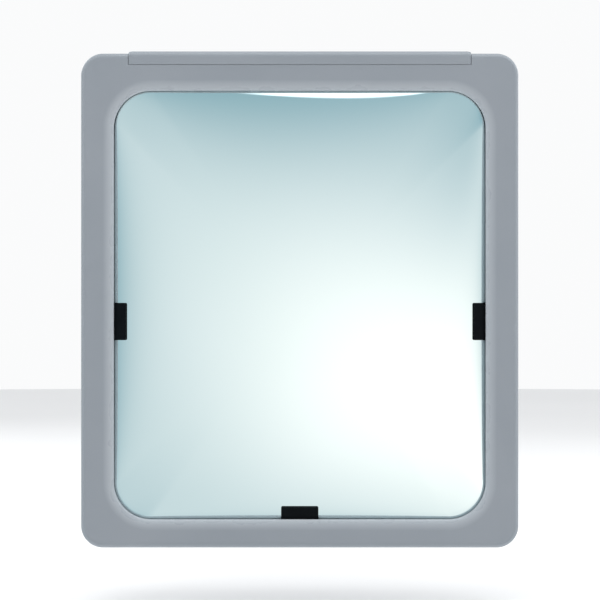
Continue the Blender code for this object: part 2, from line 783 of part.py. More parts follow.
def make_swivel_arm(material):
    """Two barrels at right angles, joined by a bar that goes from tall to wide."""
    rings = []
    for reach, half_width, half_height in ARM_SECTIONS:
        outline = rounded_rectangle(half_width * MM, half_height * MM, ARM_CORNER, 3)
        rings.append([(x, PAN_AXIS_Y - reach * MM, z) for x, z in outline])
    bar = mesh_from("swivel_arm", lambda bm: skin(bm, rings, cap_first=True, cap_last=True))
    arm = add_part("swivel_arm", bar, material)
    barrel = cylinders_mesh("arm_barrel", [(0, 0, 0)], BARREL_RADIUS, BARREL_HALF)
    bore = cylinders_mesh("arm_bore", [(0, 0, 0)], BOLT_BORE, 25 * MM)
    pan_place, tilt_place = (0, PAN_AXIS_Y, 0), (0, TILT_AXIS_Y, 0)
    boolean(arm, add_cutter("pan_barrel", barrel, pan_place), "UNION")
    boolean(arm, add_cutter("tilt_barrel", barrel, tilt_place, facing_side()), "UNION")
    boolean(arm, add_cutter("arm_pan_bore", bore, pan_place), "DIFFERENCE")
    boolean(arm, add_cutter("arm_tilt_bore", bore, tilt_place, facing_side()), "DIFFERENCE")


def ring_mesh(name, inner, outer, low, high):
    """A flat ring's profile, closed on itself."""
    profile = [(inner, high), (outer, high), (outer, low), (inner, low)]
    mesh = bpy.data.meshes.new(name)
    edges = [(0, 1), (1, 2), (2, 3), (3, 0)]
    mesh.from_pydata([(radius, 0, height) for radius, height in profile], edges, [])
    return mesh


def add_rings(names, mesh, material, place, rotation, offsets):
    for name, offset in zip(names, offsets):
        ring = add_part(name, mesh, material, place, rotation)
        ring.location = ring.location + axis_of(rotation) * offset
        turn(ring)


def axis_of(rotation):
    return Euler(rotation).to_matrix() @ Vector((0, 0, 1))


def make_pivot(kind, sides, place, rotation, steel, nylon, black, brass):
    """Bolt, washers, friction discs, knob and knob insert on one axis, knob at local +Z."""
    first, second = sides
    half = DISC_THICKNESS / 2
    disc = ring_mesh(f"{kind}_disc", BOLT_BORE, BARREL_RADIUS - MM, -half, half)
    disc_offset = BARREL_HALF + GAP + half
    names = (f"{kind}_disc_{first}", f"{kind}_disc_{second}")
    add_rings(names, disc, nylon, place, rotation, (disc_offset, -disc_offset))
    half = WASHER_THICKNESS / 2
    washer = ring_mesh(f"{kind}_washer", BOLT_BORE, WASHER_RADIUS, -half, half)
    washer_offset = EAR_OUTER + GAP + half
    names = (f"{kind}_washer_{first}", f"{kind}_washer_{second}")
    add_rings(names, washer, steel, place, rotation, (washer_offset, -washer_offset))
    make_pivot_bolt(kind, steel, place, rotation)
    make_knob(kind, black, brass, place, rotation)


def make_pivot_bolt(kind, material, place, rotation):
    """A hexagon-headed bolt, its head at local -Z and its end inside the knob."""
    seat = EAR_OUTER + WASHER_THICKNESS + 2 * GAP
    end = seat + INSERT_LENGTH
    head = cylinders_mesh(
        f"{kind}_bolt", [(0, 0, -seat - HEX_HEIGHT / 2)], HEX_RADIUS, HEX_HEIGHT / 2, 6
    )
    bolt = add_part(f"{kind}_bolt", head, material, place, rotation)
    low, high = -seat - HEX_HEIGHT / 2, end
    shank = cylinders_mesh(
        f"{kind}_shank", [(0, 0, (low + high) / 2)], BOLT_RADIUS, (high - low) / 2
    )
    boolean(bolt, add_cutter(f"{kind}_shank", shank, place, rotation), "UNION")


def make_knob(kind, black, brass, place, rotation):
    """A lobed clamp knob with a metal insert, blind at its outer end."""
    seat = EAR_OUTER + WASHER_THICKNESS + 2 * GAP
    points = 8 * KNOB_LOBES
    rings = []
    for height, share, lobed in KNOB_LEVELS:
        ring = []
        for i in range(points):
            angle = math.tau * i / points
            radius = KNOB_RADIUS * share + KNOB_LOBE * lobed * math.cos(KNOB_LOBES * angle)
            ring.append((radius * math.cos(angle), radius * math.sin(angle), seat + height * MM))
        rings.append(ring)
    mesh = mesh_from(f"{kind}_knob", lambda bm: skin(bm, rings, cap_first=True, cap_last=True))
    knob = add_part(f"{kind}_knob", mesh, black, place, rotation)
    bore_length = INSERT_LENGTH + 1 * MM
    bore = cylinders_mesh(
        f"{kind}_knob_bore", [(0, 0, seat)], INSERT_RADIUS + GAP, bore_length
    )
    boolean(knob, add_cutter(f"{kind}_knob_bore", bore, place, rotation), "DIFFERENCE")
    insert = ring_mesh(
        f"{kind}_knob_insert", BOLT_BORE, INSERT_RADIUS, seat + 0.2 * MM, seat + INSERT_LENGTH
    )
    turn(add_part(f"{kind}_knob_insert", insert, brass, place, rotation))


# ---------------------------------------------------------------- assembly

clear_scene()
parts = new_collection("convex_security_mirror")
cutters = new_collection("cutters", hidden=True)

grey_plastic = new_material("grey_plastic", (0.29, 0.33, 0.37), 0.35)
mirror_silver = new_material("mirror_silver", (0.82, 0.92, 0.92), 0.03, 1.0)
black_nylon = new_material("black_nylon", (0.01, 0.01, 0.012), 0.45)
dark_foam = new_material("dark_foam", (0.04, 0.05, 0.05), 0.9)
zinc_steel = new_material("zinc_steel", (0.62, 0.62, 0.60), 0.35, 1.0)
painted_steel = new_material("painted_steel", (0.05, 0.055, 0.06), 0.45)
white_nylon = new_material("white_nylon", (0.75, 0.74, 0.70), 0.5)
brass_insert = new_material("brass_insert", (0.72, 0.52, 0.22), 0.35, 1.0)

make_front_frame(grey_plastic)
make_rear_shell(grey_plastic)
make_top_clamp_strip(grey_plastic)
make_mirror_panel(mirror_silver)
make_mirror_gasket(dark_foam)
make_top_edge_packing(dark_foam)
make_clips(black_nylon)
make_screws(zinc_steel)
make_inner_mount_plate(zinc_steel)
make_tilt_fork(painted_steel)
make_swivel_arm(painted_steel)
make_wall_bracket(painted_steel)
make_pivot(
    "pan", ("lower", "upper"), (0, PAN_AXIS_Y, 0), (math.pi, 0, 0),
    zinc_steel, white_nylon, black_nylon, brass_insert,
)
make_pivot(
    "tilt", ("right", "left"), (0, TILT_AXIS_Y, 0), facing_side(),
    zinc_steel, white_nylon, black_nylon, brass_insert,
)
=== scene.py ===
"""Looks of the convex security mirror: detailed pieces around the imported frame.

Metres, +Z up. The wall is the plane y = 0 and the mirror looks along -Y. Inside the head, "depth"
runs backwards from the front face of the frame, so a larger depth is nearer the wall.
"""

import json
import math
from collections import namedtuple

import bmesh
import bpy
from mathutils import Matrix, Vector


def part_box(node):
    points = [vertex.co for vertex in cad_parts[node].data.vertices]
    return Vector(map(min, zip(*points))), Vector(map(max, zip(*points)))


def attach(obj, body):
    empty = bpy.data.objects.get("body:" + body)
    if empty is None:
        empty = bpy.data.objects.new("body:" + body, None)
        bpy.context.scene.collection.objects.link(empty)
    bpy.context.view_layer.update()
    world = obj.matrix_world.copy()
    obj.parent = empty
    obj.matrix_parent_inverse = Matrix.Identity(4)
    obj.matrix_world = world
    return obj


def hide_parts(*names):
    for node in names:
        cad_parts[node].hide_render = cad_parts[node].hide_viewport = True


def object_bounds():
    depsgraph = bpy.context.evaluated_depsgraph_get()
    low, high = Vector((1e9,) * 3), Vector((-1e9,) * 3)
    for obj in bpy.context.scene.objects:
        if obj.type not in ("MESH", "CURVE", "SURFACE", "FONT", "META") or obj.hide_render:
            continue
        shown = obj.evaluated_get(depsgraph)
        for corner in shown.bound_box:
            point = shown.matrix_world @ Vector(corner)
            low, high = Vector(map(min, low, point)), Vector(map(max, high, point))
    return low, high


MM = 0.001

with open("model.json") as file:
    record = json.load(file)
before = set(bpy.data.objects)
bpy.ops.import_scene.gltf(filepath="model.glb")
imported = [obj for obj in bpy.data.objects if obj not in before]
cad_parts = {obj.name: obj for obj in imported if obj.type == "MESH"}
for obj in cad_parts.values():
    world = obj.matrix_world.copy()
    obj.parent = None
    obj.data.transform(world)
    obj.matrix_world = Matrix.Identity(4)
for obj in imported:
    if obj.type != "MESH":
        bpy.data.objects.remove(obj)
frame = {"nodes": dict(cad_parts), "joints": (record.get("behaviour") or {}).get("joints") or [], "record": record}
cad_low, cad_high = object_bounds()
joints = {joint["name"]: joint for joint in frame["joints"]}

# ---------------------------------------------------------------- measures

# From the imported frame
face_low, face_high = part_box("front_frame")
FACE_Y = face_low.y
HEAD_HALF_WIDTH, HEAD_HALF_HEIGHT = face_high.x, -face_low.z
shell_low, shell_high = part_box("rear_shell")
SHELL_FRONT = shell_low.y - FACE_Y
SHELL_BACK = shell_high.y - FACE_Y
mirror_low, mirror_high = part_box("mirror_panel")
MIRROR_HALF_WIDTH = mirror_high.x
MIRROR_HALF_HEIGHT = (mirror_high.z - mirror_low.z) / 2
MIRROR_CENTRE_Z = (mirror_high.z + mirror_low.z) / 2
strip_low, strip_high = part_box("top_clamp_strip")
PAN_PLACE = Vector(joints["pan"]["pos_m"])
TILT_PLACE = Vector(joints["tilt"]["pos_m"])
PIVOT_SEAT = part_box("tilt_knob")[0].x  # from a pivot's middle to its knob

# Front frame
HEAD_RADIUS = 22 * MM
GAP = 0.3 * MM
OPENING_HALF_WIDTH, OPENING_HALF_HEIGHT = 187.5 * MM, 216 * MM
OPENING_RADIUS = 38 * MM
OPENING_CENTRE_Z = -4.5 * MM
FRAME_WALL = 3.0 * MM
FRAME_BACK = SHELL_FRONT - GAP
EDGE_ROUND = 5.0 * MM
SEAM_CHAMFER, SEAM_MIDDLE = 0.35 * MM, 0.1 * MM  # on frame and shell, where they meet
LIP_WIDTH, LIP_FRONT, LIP_BACK = 9.0 * MM, 3.2 * MM, 4.2 * MM
RECESS_OUTSET, LEDGE_INSET = 4.3 * MM, 10.0 * MM
LEDGE_FRONT, LEDGE_BACK = 13.2 * MM, 15.7 * MM
LIP_OVERLAP = 0.55 * MM  # the lip reaches this far in, so that it just covers the mirror's edge
# A thin skirt runs back from the lip to just before the mirror, which bulges further at the top
SKIRT_WIDTH = 0.75 * MM
SKIRT_BACK, SKIRT_BACK_TOP = 7.2 * MM, 5.8 * MM
SKIRT_RISE_START, SKIRT_RISE_END = 165 * MM, 185 * MM

# Rear shell
BAND_BACK = 31.0 * MM
BAND_ROUND = 3.0 * MM
SHELL_WALL = 2.5 * MM
SLOPE_START, SLOPE_END = 30 * MM, 44 * MM
SLOPE_RADIUS, SLOPE_TIGHTENING = 26 * MM, 4 * MM
PLATEAU_GROOVE_INSET, PLATEAU_GROOVE_RADIUS, PLATEAU_GROOVE_CORNER = 10 * MM, 1.1 * MM, 16 * MM
SCREW_RING_RADIUS, SCREW_RING_GROOVE = 5.6 * MM, 0.45 * MM
RIB_HALF_WIDTH, RIB_HEIGHT = 5 * MM, 1.4 * MM
# Start and end (x, z) of the ribs to a corner, to a side and to the top, each also mirrored
CORNER_RIB = ((60 * MM, 66 * MM), (148 * MM, 172 * MM))
SIDE_RIB = ((64 * MM, 0), (150 * MM, 0))
TOP_RIB = ((0, 70 * MM), (0, 174 * MM))

# Mirror
MIRROR_RADIUS = 37.5 * MM
MIRROR_THICKNESS = 3.0 * MM
RIM_FRONT = mirror_high.y - FACE_Y - MIRROR_THICKNESS
MIRROR_RISE = RIM_FRONT - (mirror_low.y - FACE_Y)
DOME_MARGIN = 2.5 * MM
DOME_POWER = 0.62
RIM_BLEND = 6

# Clips
CLIP_LENGTH, CLIP_REACH, CLIP_THICKNESS = 37.5 * MM, 12.5 * MM, 2.2 * MM
CLIP_CORNER = 1.5 * MM
CLIP_FOOT = 9 * MM
CLIP_SCREW_INSET = 4.5 * MM
# A clip's shank, inboard of the opening's edge, so both lie outside it
SHANK_IN, SHANK_OUT = -0.5 * MM, -0.5 * MM - CLIP_THICKNESS
# Half depths of the slot in the ledge and of the notch in the lip's skirt that let a clip through
SLOT_HALF, NOTCH_HALF = 5 * MM, 2.5 * MM
NOTCH_SHIFT = 1.4 * MM

# Strip
STRIP_THICKNESS = 1.7 * MM
STRIP_ROUND = 6.0 * MM
STRIP_FRONT_FOOT, STRIP_BACK_FOOT = 237.3 * MM, strip_low.z
END_LENGTH, END_DROP = 5 * MM, 1.25 * MM

# Pivots and bracket
EAR_THICKNESS = 4 * MM
EAR_RADIUS = 16 * MM
BARREL_RADIUS, BARREL_HALF = 15 * MM, 16 * MM
BOLT_RADIUS = 4 * MM
BORE = BOLT_RADIUS + GAP

HEX_RADIUS, HEX_HEIGHT = 7.5 * MM, 5.3 * MM
BOLT_REACH = 13 * MM  # of the bolt's tip past the knob's seat
KNOB_RADIUS, KNOB_LOBE, KNOB_LOBES = 18 * MM, 2.5 * MM, 5
# Turned profile of a clamp knob: height in mm, share of the grip's radius, share of the lobes
KNOB_LEVELS = (
    (0.0, 0.47, 0), (0.3, 0.50, 0), (4.6, 0.50, 0), (5.4, 0.53, 0), (5.9, 0.60, 0.1), (6.3, 0.72, 0.35),
    (6.8, 0.84, 0.6), (7.5, 0.93, 0.8), (8.4, 0.98, 0.93), (9.6, 1.0, 1), (11.5, 1.0, 1), (14.5, 1.0, 1),
    (16.6, 0.995, 0.99), (17.8, 0.975, 0.95), (18.8, 0.94, 0.88), (19.5, 0.89, 0.8), (19.9, 0.83, 0.7),
    (20.0, 0.77, 0.58), (19.95, 0.68, 0.4), (19.7, 0.60, 0.2), (19.3, 0.53, 0.05), (19.1, 0.47, 0),
    (19.1, 0.36, 0), (19.3, 0.34, 0), (19.55, 0.32, 0), (19.6, 0.28, 0), (19.65, 0.14, 0), (19.65, 0.01, 0),
)
INSERT_BORE_RADIUS, INSERT_BORE_DEPTH = 6.3 * MM, 14 * MM
FORK_THICKNESS, FORK_RADIUS, FORK_HOLE = 3 * MM, 8 * MM, 2.8 * MM
PLATE_THICKNESS, PLATE_RADIUS = 4 * MM, 10 * MM
PLATE_HOLE_X, PLATE_HOLE_Z, PLATE_HOLE_RADIUS, SINK_RADIUS = 30 * MM, 50 * MM, 3.5 * MM, 6.4 * MM
FILLET_LENGTH, FILLET_RADIUS = 34 * MM, 3 * MM
# Sections along the arm: distance from the pan bolt, half width and half height, in mm
ARM_SECTIONS = (
    (4, 5.6, 10.6), (14, 5.6, 10.4), (30, 6.1, 9.6), (55, 7.6, 8.1),
    (80, 9.6, 6.6), (96, 10.5, 5.7), (106, 10.7, 5.6),
)
BARREL_EXTRA, TRIM_HALF = 6 * MM, 12 * MM  # barrels are cast too long, then trimmed by blocks
FIRST_SCREW_TURN, NEXT_SCREW_TURN = 0.7, 1.9  # radians
BORE_HALF_LENGTH = 30 * MM  # of the cutters for a pivot's bores
PIVOT_INNER = BARREL_HALF + 1.2 * MM + 2 * GAP  # from a pivot's middle past its disc to an ear
SCREW_HOLE = 1.75 * MM  # radius of the holes for the small screws

CORNER_STEPS = 24
ROUND_STEPS = 64


# ---------------------------------------------------------------- mesh helpers


def depth_to_y(depth):
    return FACE_Y + depth


def rounded_rectangle(half_width, half_height, radius, steps=CORNER_STEPS, side_steps=6):
    """Points (x, z) anticlockwise from the right-hand side, with round corners."""
    corners = []
    for corner, (sx, sz) in enumerate(((1, 1), (-1, 1), (-1, -1), (1, -1))):
        arc = []
        for step in range(steps + 1):
            angle = math.pi / 2 * (corner + step / steps)
            x = sx * (half_width - radius) + radius * math.cos(angle)
            z = sz * (half_height - radius) + radius * math.sin(angle)
            arc.append((x, z))
        corners.append(arc)
    points = []
    for arc, following in zip(corners, corners[1:] + corners[:1]):
        points += arc
        start, end = Vector(arc[-1]), Vector(following[0])
        points += [tuple(start.lerp(end, i / side_steps)) for i in range(1, side_steps)]
    return points


def mesh_from(name, build):
    bm = bmesh.new()
    build(bm)
    bmesh.ops.recalc_face_normals(bm, faces=bm.faces)
    mesh = bpy.data.meshes.new(name)
    bm.to_mesh(mesh)
    bm.free()
    return mesh


def skin(bm, rings, closed=False, cap_first=False, cap_last=False):
    """Quads between neighbouring rings of points, with optional end faces."""
    loops = [[bm.verts.new(point) for point in ring] for ring in rings]
    pairs = list(zip(loops, loops[1:]))
    if closed:
        pairs.append((loops[-1], loops[0]))
    for first, second in pairs:
        for i, vert in enumerate(first):
            j = (i + 1) % len(first)
            bm.faces.new((vert, first[j], second[j], second[i]))
    if cap_first:
        bm.faces.new(loops[0])
    if cap_last:
        bm.faces.new(loops[-1])
    return loops


def lofted(name, rings, location=(0, 0, 0), rotation=(0, 0, 0), closed=False):
    """An object skinned over rings of points, capped unless its last ring joins its first."""
    mesh = mesh_from(name, lambda bm: skin(bm, rings, closed, not closed, not closed))
    return add_object(name, mesh, location, rotation)


def turned(name, profile, steps=ROUND_STEPS, location=(0, 0, 0), rotation=(0, 0, 0)):
    """A solid or ring turned about local Z from (radius, height) points, closed where it meets the axis."""

    def build(bm):
        rings = []
        for radius, height in profile:
            if radius == 0:
                rings.append([bm.verts.new((0, 0, height))])
                continue
            ring = []
            for step in range(steps):
                angle = math.tau * step / steps
                ring.append(bm.verts.new((radius * math.cos(angle), radius * math.sin(angle), height)))
            rings.append(ring)
        on_axis = len(rings[0]) == 1
        pairs = list(zip(rings, rings[1:]))
        if not on_axis:
            pairs.append((rings[-1], rings[0]))
        for first, second in pairs:
            for i in range(steps):
                j = (i + 1) % steps
                corners = [first[i % len(first)], first[j % len(first)]]
                corners += [second[j % len(second)], second[i % len(second)]]
                bm.faces.new(list(dict.fromkeys(corners)))

    return add_object(name, mesh_from(name, build), location, rotation)


def prism(name, outline, half_length, location=(0, 0, 0), rotation=(0, 0, 0)):
    """A flat outline of (x, y) points made solid both ways along local Z."""
    rings = [[(x, y, z) for x, y in outline] for z in (-half_length, half_length)]
    return lofted(name, rings, location, rotation)


def block_outline(low_x, high_x, half_height):
    """Corners (x, y) of a rectangle that is as high above the X axis as below it."""
    return [(low_x, -half_height), (high_x, -half_height), (high_x, half_height), (low_x, half_height)]


def arc_points(centre, radius, start, end, steps):
    """Points on an arc between two angles in degrees."""
    points = []
    for step in range(steps + 1):
        angle = math.radians(start + (end - start) * step / steps)
        points.append((centre[0] + radius * math.cos(angle), centre[1] + radius * math.sin(angle)))
    return points


# ---------------------------------------------------------------- object helpers


def add_object(name, mesh, location=(0, 0, 0), rotation=(0, 0, 0)):
    obj = bpy.data.objects.new(name, mesh)
    bpy.context.scene.collection.objects.link(obj)
    obj.location = location
    obj.rotation_euler = rotation
    return obj


def freeze(obj):
    """Replaces the object's mesh by the one its modifiers make."""
    bpy.context.view_layer.update()
    evaluated = obj.evaluated_get(bpy.context.evaluated_depsgraph_get())
    mesh = bpy.data.meshes.new_from_object(evaluated)
    obj.modifiers.clear()
    old = obj.data
    obj.data = mesh
    mesh.name = obj.name
    bpy.data.meshes.remove(old)


def combine(obj, cuts=(), joins=(), limits=()):
    """Limits, joins and then cuts the object with helper objects, which are removed."""
    for operation, others in (("INTERSECT", limits), ("UNION", joins), ("DIFFERENCE", cuts)):
        for other in others:
            modifier = obj.modifiers.new(operation, "BOOLEAN")
            modifier.operation = operation
            modifier.solver = "EXACT"
            modifier.object = other
    freeze(obj)
    for other in (*limits, *joins, *cuts):
        mesh = other.data
        bpy.data.objects.remove(other, do_unlink=True)
        if not mesh.users:
            bpy.data.meshes.remove(mesh)


def smooth(obj, angle=32, bevel=0.0, segments=2, bevel_angle=32):
    """Smooth shading with crisp creases, and softly rounded edges where a bevel is given."""
    mesh = obj.data
    mesh.shade_smooth()
    mesh.set_sharp_from_angle(angle=math.radians(angle))
    if not bevel:
        return
    modifier = obj.modifiers.new("Bevel", "BEVEL")
    modifier.width = bevel
    modifier.segments = segments
    modifier.limit_method = "ANGLE"
    modifier.angle_limit = math.radians(bevel_angle)
    modifier.miter_outer = "MITER_ARC"
    modifier.use_clamp_overlap = True
    freeze(obj)
    obj.data.shade_smooth()
    obj.data.set_sharp_from_angle(angle=math.radians(50))
    weigh_normals(obj)


def weigh_normals(obj):
    """Lets the large faces set the shading, so that they look flat up to their edges."""
    modifier = obj.modifiers.new("Weighted", "WEIGHTED_NORMAL")
    modifier.keep_sharp = True


def finish(obj, body, material, replaced):
    """Gives a piece its material and its body, and hides the CAD node it stands for."""
    if obj.data.materials.find(material.name) < 0:
        obj.data.materials.append(material)
    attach(obj, body)
    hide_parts(replaced)


def facing_wall():
    """Turns a local +Z axis to +Y."""
    return (-math.pi / 2, 0, 0)


def facing_side():
    """Turns a local +Z axis to +X."""
    return (0, math.pi / 2, 0)


def across():
    """Location and rotation that put an outline of (depth, z) points across the head."""
    return (0, depth_to_y(0), 0), (math.pi / 2, 0, math.pi / 2)


def cylinder(name, radius, half_length, location=(0, 0, 0), rotation=(0, 0, 0), steps=48):
    profile = [(0, half_length), (radius, half_length), (radius, -half_length), (0, -half_length)]
    return turned(name, profile, steps, location, rotation)


def head_ring(inset, depth, radius=None):
    """A ring parallel to the head's outline."""
    radius = HEAD_RADIUS - inset if radius is None else radius
    outline = rounded_rectangle(HEAD_HALF_WIDTH - inset, HEAD_HALF_HEIGHT - inset, radius)
    return [(x, depth_to_y(depth), z) for x, z in outline]


def opening_ring(outset, depth):
    """A ring parallel to the opening's outline."""
    outline = rounded_rectangle(
        OPENING_HALF_WIDTH + outset, OPENING_HALF_HEIGHT + outset, OPENING_RADIUS + outset
    )
    return [(x, depth_to_y(depth), z + OPENING_CENTRE_Z) for x, z in outline]


def mirror_ring(inset, depth):
    """A ring parallel to the mirror's outline."""
    outline = rounded_rectangle(
        MIRROR_HALF_WIDTH - inset, MIRROR_HALF_HEIGHT - inset, MIRROR_RADIUS - inset
    )
    return [(x, depth_to_y(depth), z + MIRROR_CENTRE_Z) for x, z in outline]


# ---------------------------------------------------------------- material helpers


def add_node(tree, kind, inputs=None, **settings):
    """A node with its settings, and its inputs given as numbers, colours or sockets to link."""
    node = tree.nodes.new(kind)
    for key, value in settings.items():
        setattr(node, key, value)
    for key, value in (inputs or {}).items():
        if isinstance(value, bpy.types.NodeSocket):
            tree.links.new(value, node.inputs[key])
        else:
            node.inputs[key].default_value = value
    return node


class Surface:
    """A material on a Principled shader, with short calls for the patterns used here."""

    def __init__(self, name, **settings):
        self.material = bpy.data.materials.new(name)
        self.material.use_nodes = True
        self.tree = self.material.node_tree
        self.shader = self.tree.nodes["Principled BSDF"]
        for key, value in settings.items():
            self.shader.inputs[key.replace("_", " ")].default_value = value
        self.place = add_node(self.tree, "ShaderNodeTexCoord").outputs["Object"]
        self.bump = None

    def noise(self, scale, detail=2.0, roughness=0.5, place=None):
        inputs = {"Vector": place or self.place, "Scale": scale, "Detail": detail, "Roughness": roughness}
        return add_node(self.tree, "ShaderNodeTexNoise", inputs).outputs["Fac"]

    def cells(self, scale):
        inputs = {"Vector": self.place, "Scale": scale}
        return add_node(self.tree, "ShaderNodeTexVoronoi", inputs).outputs["Distance"]

    def stretched(self, sx, sy, sz):
        inputs = {"Vector": self.place, "Scale": (sx, sy, sz)}
        return add_node(self.tree, "ShaderNodeMapping", inputs).outputs["Vector"]

    def between(self, value, low, high, start=0.0, end=1.0):
        """Takes a value's range from low..high to start..end, held at its ends."""
        inputs = {"Value": value, "From Min": low, "From Max": high, "To Min": start, "To Max": end}
        return add_node(self.tree, "ShaderNodeMapRange", inputs).outputs["Result"]

    def math(self, operation, first, second=0.0):
        node = add_node(self.tree, "ShaderNodeMath", {0: first, 1: second}, operation=operation)
        return node.outputs["Value"]

    def mix(self, share, first, second):
        inputs = {0: share, 6: first, 7: second}
        return add_node(self.tree, "ShaderNodeMix", inputs, data_type="RGBA").outputs[2]

    def edges(self, radius):
        """How close a point is to a convex or concave edge, from 0 to 1."""
        flat = add_node(self.tree, "ShaderNodeNewGeometry").outputs["Normal"]
        rounded = add_node(self.tree, "ShaderNodeBevel", {"Radius": radius}, samples=4).outputs["Normal"]
        inputs = {0: flat, 1: rounded}
        facing = add_node(self.tree, "ShaderNodeVectorMath", inputs, operation="DOT_PRODUCT")
        return self.between(self.math("SUBTRACT", 1.0, facing.outputs["Value"]), 0.0, 0.25)

    def colour(self, socket):
        self.tree.links.new(socket, self.shader.inputs["Base Color"])

    def roughness(self, socket):
        self.tree.links.new(socket, self.shader.inputs["Roughness"])

    def raise_by(self, height, distance, strength=1.0):
        """Adds a bump layer of that real height in metres."""
        inputs = {"Height": height, "Distance": distance, "Strength": strength}
        if self.bump:
            inputs["Normal"] = self.bump
        self.bump = add_node(self.tree, "ShaderNodeBump", inputs).outputs["Normal"]
        self.tree.links.new(self.bump, self.shader.inputs["Normal"])


# ---------------------------------------------------------------- materials


def lip_highlight_and_gloss_share(s):
    """From 0 on the flat face to 1 at the opening's rounded lip, which gets a painted highlight (a paler colour)
    and a little more gloss.
    """
    parts = add_node(s.tree, "ShaderNodeSeparateXYZ", {0: s.place}).outputs
    reach_x, reach_z = OPENING_HALF_WIDTH - OPENING_RADIUS, OPENING_HALF_HEIGHT - OPENING_RADIUS
    across_x = s.math("SUBTRACT", s.math("ABSOLUTE", parts["X"]), reach_x)
    up = s.math("ABSOLUTE", s.math("SUBTRACT", parts["Z"], OPENING_CENTRE_Z))
    across_z = s.math("SUBTRACT", up, reach_z)
    out_x, out_z = s.math("MAXIMUM", across_x, 0.0), s.math("MAXIMUM", across_z, 0.0)
    square = s.math("ADD", s.math("MULTIPLY", out_x, out_x), s.math("MULTIPLY", out_z, out_z))
    distance = s.math("SUBTRACT", s.math("SQRT", square), OPENING_RADIUS)
    near = s.between(distance, 10.5 * MM, 1.5 * MM)
    front = s.between(parts["Y"], depth_to_y(LIP_BACK + 2 * MM), depth_to_y(LIP_BACK))
    return s.math("MULTIPLY", near, front)


def grey_plastic():
    """Satin moulded plastic: faint colour drift, fine spark-eroded grain, slight sink waves and a painted
    highlight on the opening's lip.
    """
    s = Surface("grey_plastic_look", Specular_IOR_Level=0.5)
    drift = s.between(s.noise(9.0, 3.0), 0.3, 0.7)
    base = s.mix(drift, (0.212, 0.235, 0.262, 1), (0.228, 0.250, 0.277, 1))
    speck = s.between(s.noise(2600.0, 1.0), 0.62, 0.75, 0.0, 0.10)
    base = s.mix(speck, base, (0.30, 0.33, 0.36, 1))
    lip = lip_highlight_and_gloss_share(s)
    # Painted highlight: the lip is coloured paler to stand in for light caught on its rounding
    base = s.mix(s.math("MULTIPLY", lip, 0.85), base, (0.350, 0.378, 0.408, 1))
    worn = s.math("MULTIPLY", s.edges(0.9 * MM), s.between(s.noise(160.0, 4.0), 0.45, 0.7))
    base = s.mix(s.math("MULTIPLY", worn, 0.16), base, (0.36, 0.39, 0.42, 1))
    s.colour(base)
    satin = s.between(s.noise(55.0, 4.0), 0.3, 0.7, 0.33, 0.41)
    s.roughness(s.math("SUBTRACT", satin, s.math("MULTIPLY", lip, 0.10)))
    s.raise_by(s.noise(11.0, 1.0), 0.25 * MM, 0.4)
    s.raise_by(s.noise(1500.0, 2.0, 0.6), 0.012 * MM, 0.7)
    return s.material


def mirror_silver():
    """Silvered acrylic: cool reflection, faint sheet ripple, a few dust specks and hairlines."""
    s = Surface("mirror_silver_look", Metallic=1.0)
    tint = s.between(s.noise(5.0, 2.0), 0.35, 0.65)
    s.colour(s.mix(tint, (0.835, 0.935, 0.935, 1), (0.85, 0.945, 0.95, 1)))
    dust = s.between(s.cells(210.0), 0.06, 0.02)
    patches = s.between(s.noise(14.0, 3.0), 0.5, 0.72)
    hair = s.noise(60.0, 6.0, 0.75, s.stretched(0.7, 1.0, 14.0))
    hairlines = s.between(hair, 0.70, 0.78, 0.0, 0.05)
    marks = s.math("MULTIPLY", s.math("MULTIPLY", dust, patches), 0.25)
    film = s.between(s.noise(8.0, 4.0, 0.6), 0.35, 0.75, 0.012, 0.035)
    s.roughness(s.math("ADD", s.math("ADD", film, hairlines), marks))
    s.raise_by(s.noise(7.0, 1.0), 0.05 * MM, 0.4)
    return s.material


def mirror_edge():
    """Sawn and flamed edge of the acrylic sheet."""
    s = Surface("mirror_edge_look", Specular_IOR_Level=0.5)
    streaks = s.between(s.noise(900.0, 2.0, 0.5, s.stretched(1.0, 0.08, 1.0)), 0.35, 0.65)
    s.colour(s.mix(streaks, (0.030, 0.046, 0.050, 1), (0.060, 0.084, 0.088, 1)))
    s.roughness(s.between(s.noise(300.0), 0.3, 0.7, 0.18, 0.32))
    s.raise_by(s.noise(700.0, 2.0, 0.5, s.stretched(1.0, 0.1, 1.0)), 0.02 * MM, 0.6)
    return s.material


def mirror_backing():
    """Grey paint over the silvering."""
    s = Surface("mirror_backing_look")
    mottled = s.between(s.noise(120.0, 5.0), 0.3, 0.7)
    s.colour(s.mix(mottled, (0.10, 0.11, 0.12, 1), (0.14, 0.15, 0.16, 1)))
    s.roughness(s.between(s.noise(400.0), 0.3, 0.7, 0.55, 0.75))
    s.raise_by(s.noise(900.0, 3.0), 0.05 * MM, 0.7)
    return s.material


def black_nylon():
    """Moulded black nylon with a fine matt grain and slightly rubbed edges."""
    s = Surface("black_nylon_look", Specular_IOR_Level=0.05)
    drift = s.between(s.noise(70.0, 3.0), 0.3, 0.7)
    base = s.mix(drift, (0.0018, 0.0026, 0.0036, 1), (0.0034, 0.0044, 0.0056, 1))
    worn = s.math("MULTIPLY", s.edges(0.7 * MM), s.between(s.noise(240.0, 4.0), 0.5, 0.75))
    s.colour(s.mix(s.math("MULTIPLY", worn, 0.4), base, (0.035, 0.038, 0.042, 1)))
    s.roughness(s.between(s.noise(320.0, 3.0), 0.3, 0.7, 0.40, 0.54))
    s.raise_by(s.noise(1300.0, 2.0, 0.6), 0.02 * MM, 0.8)
    return s.material


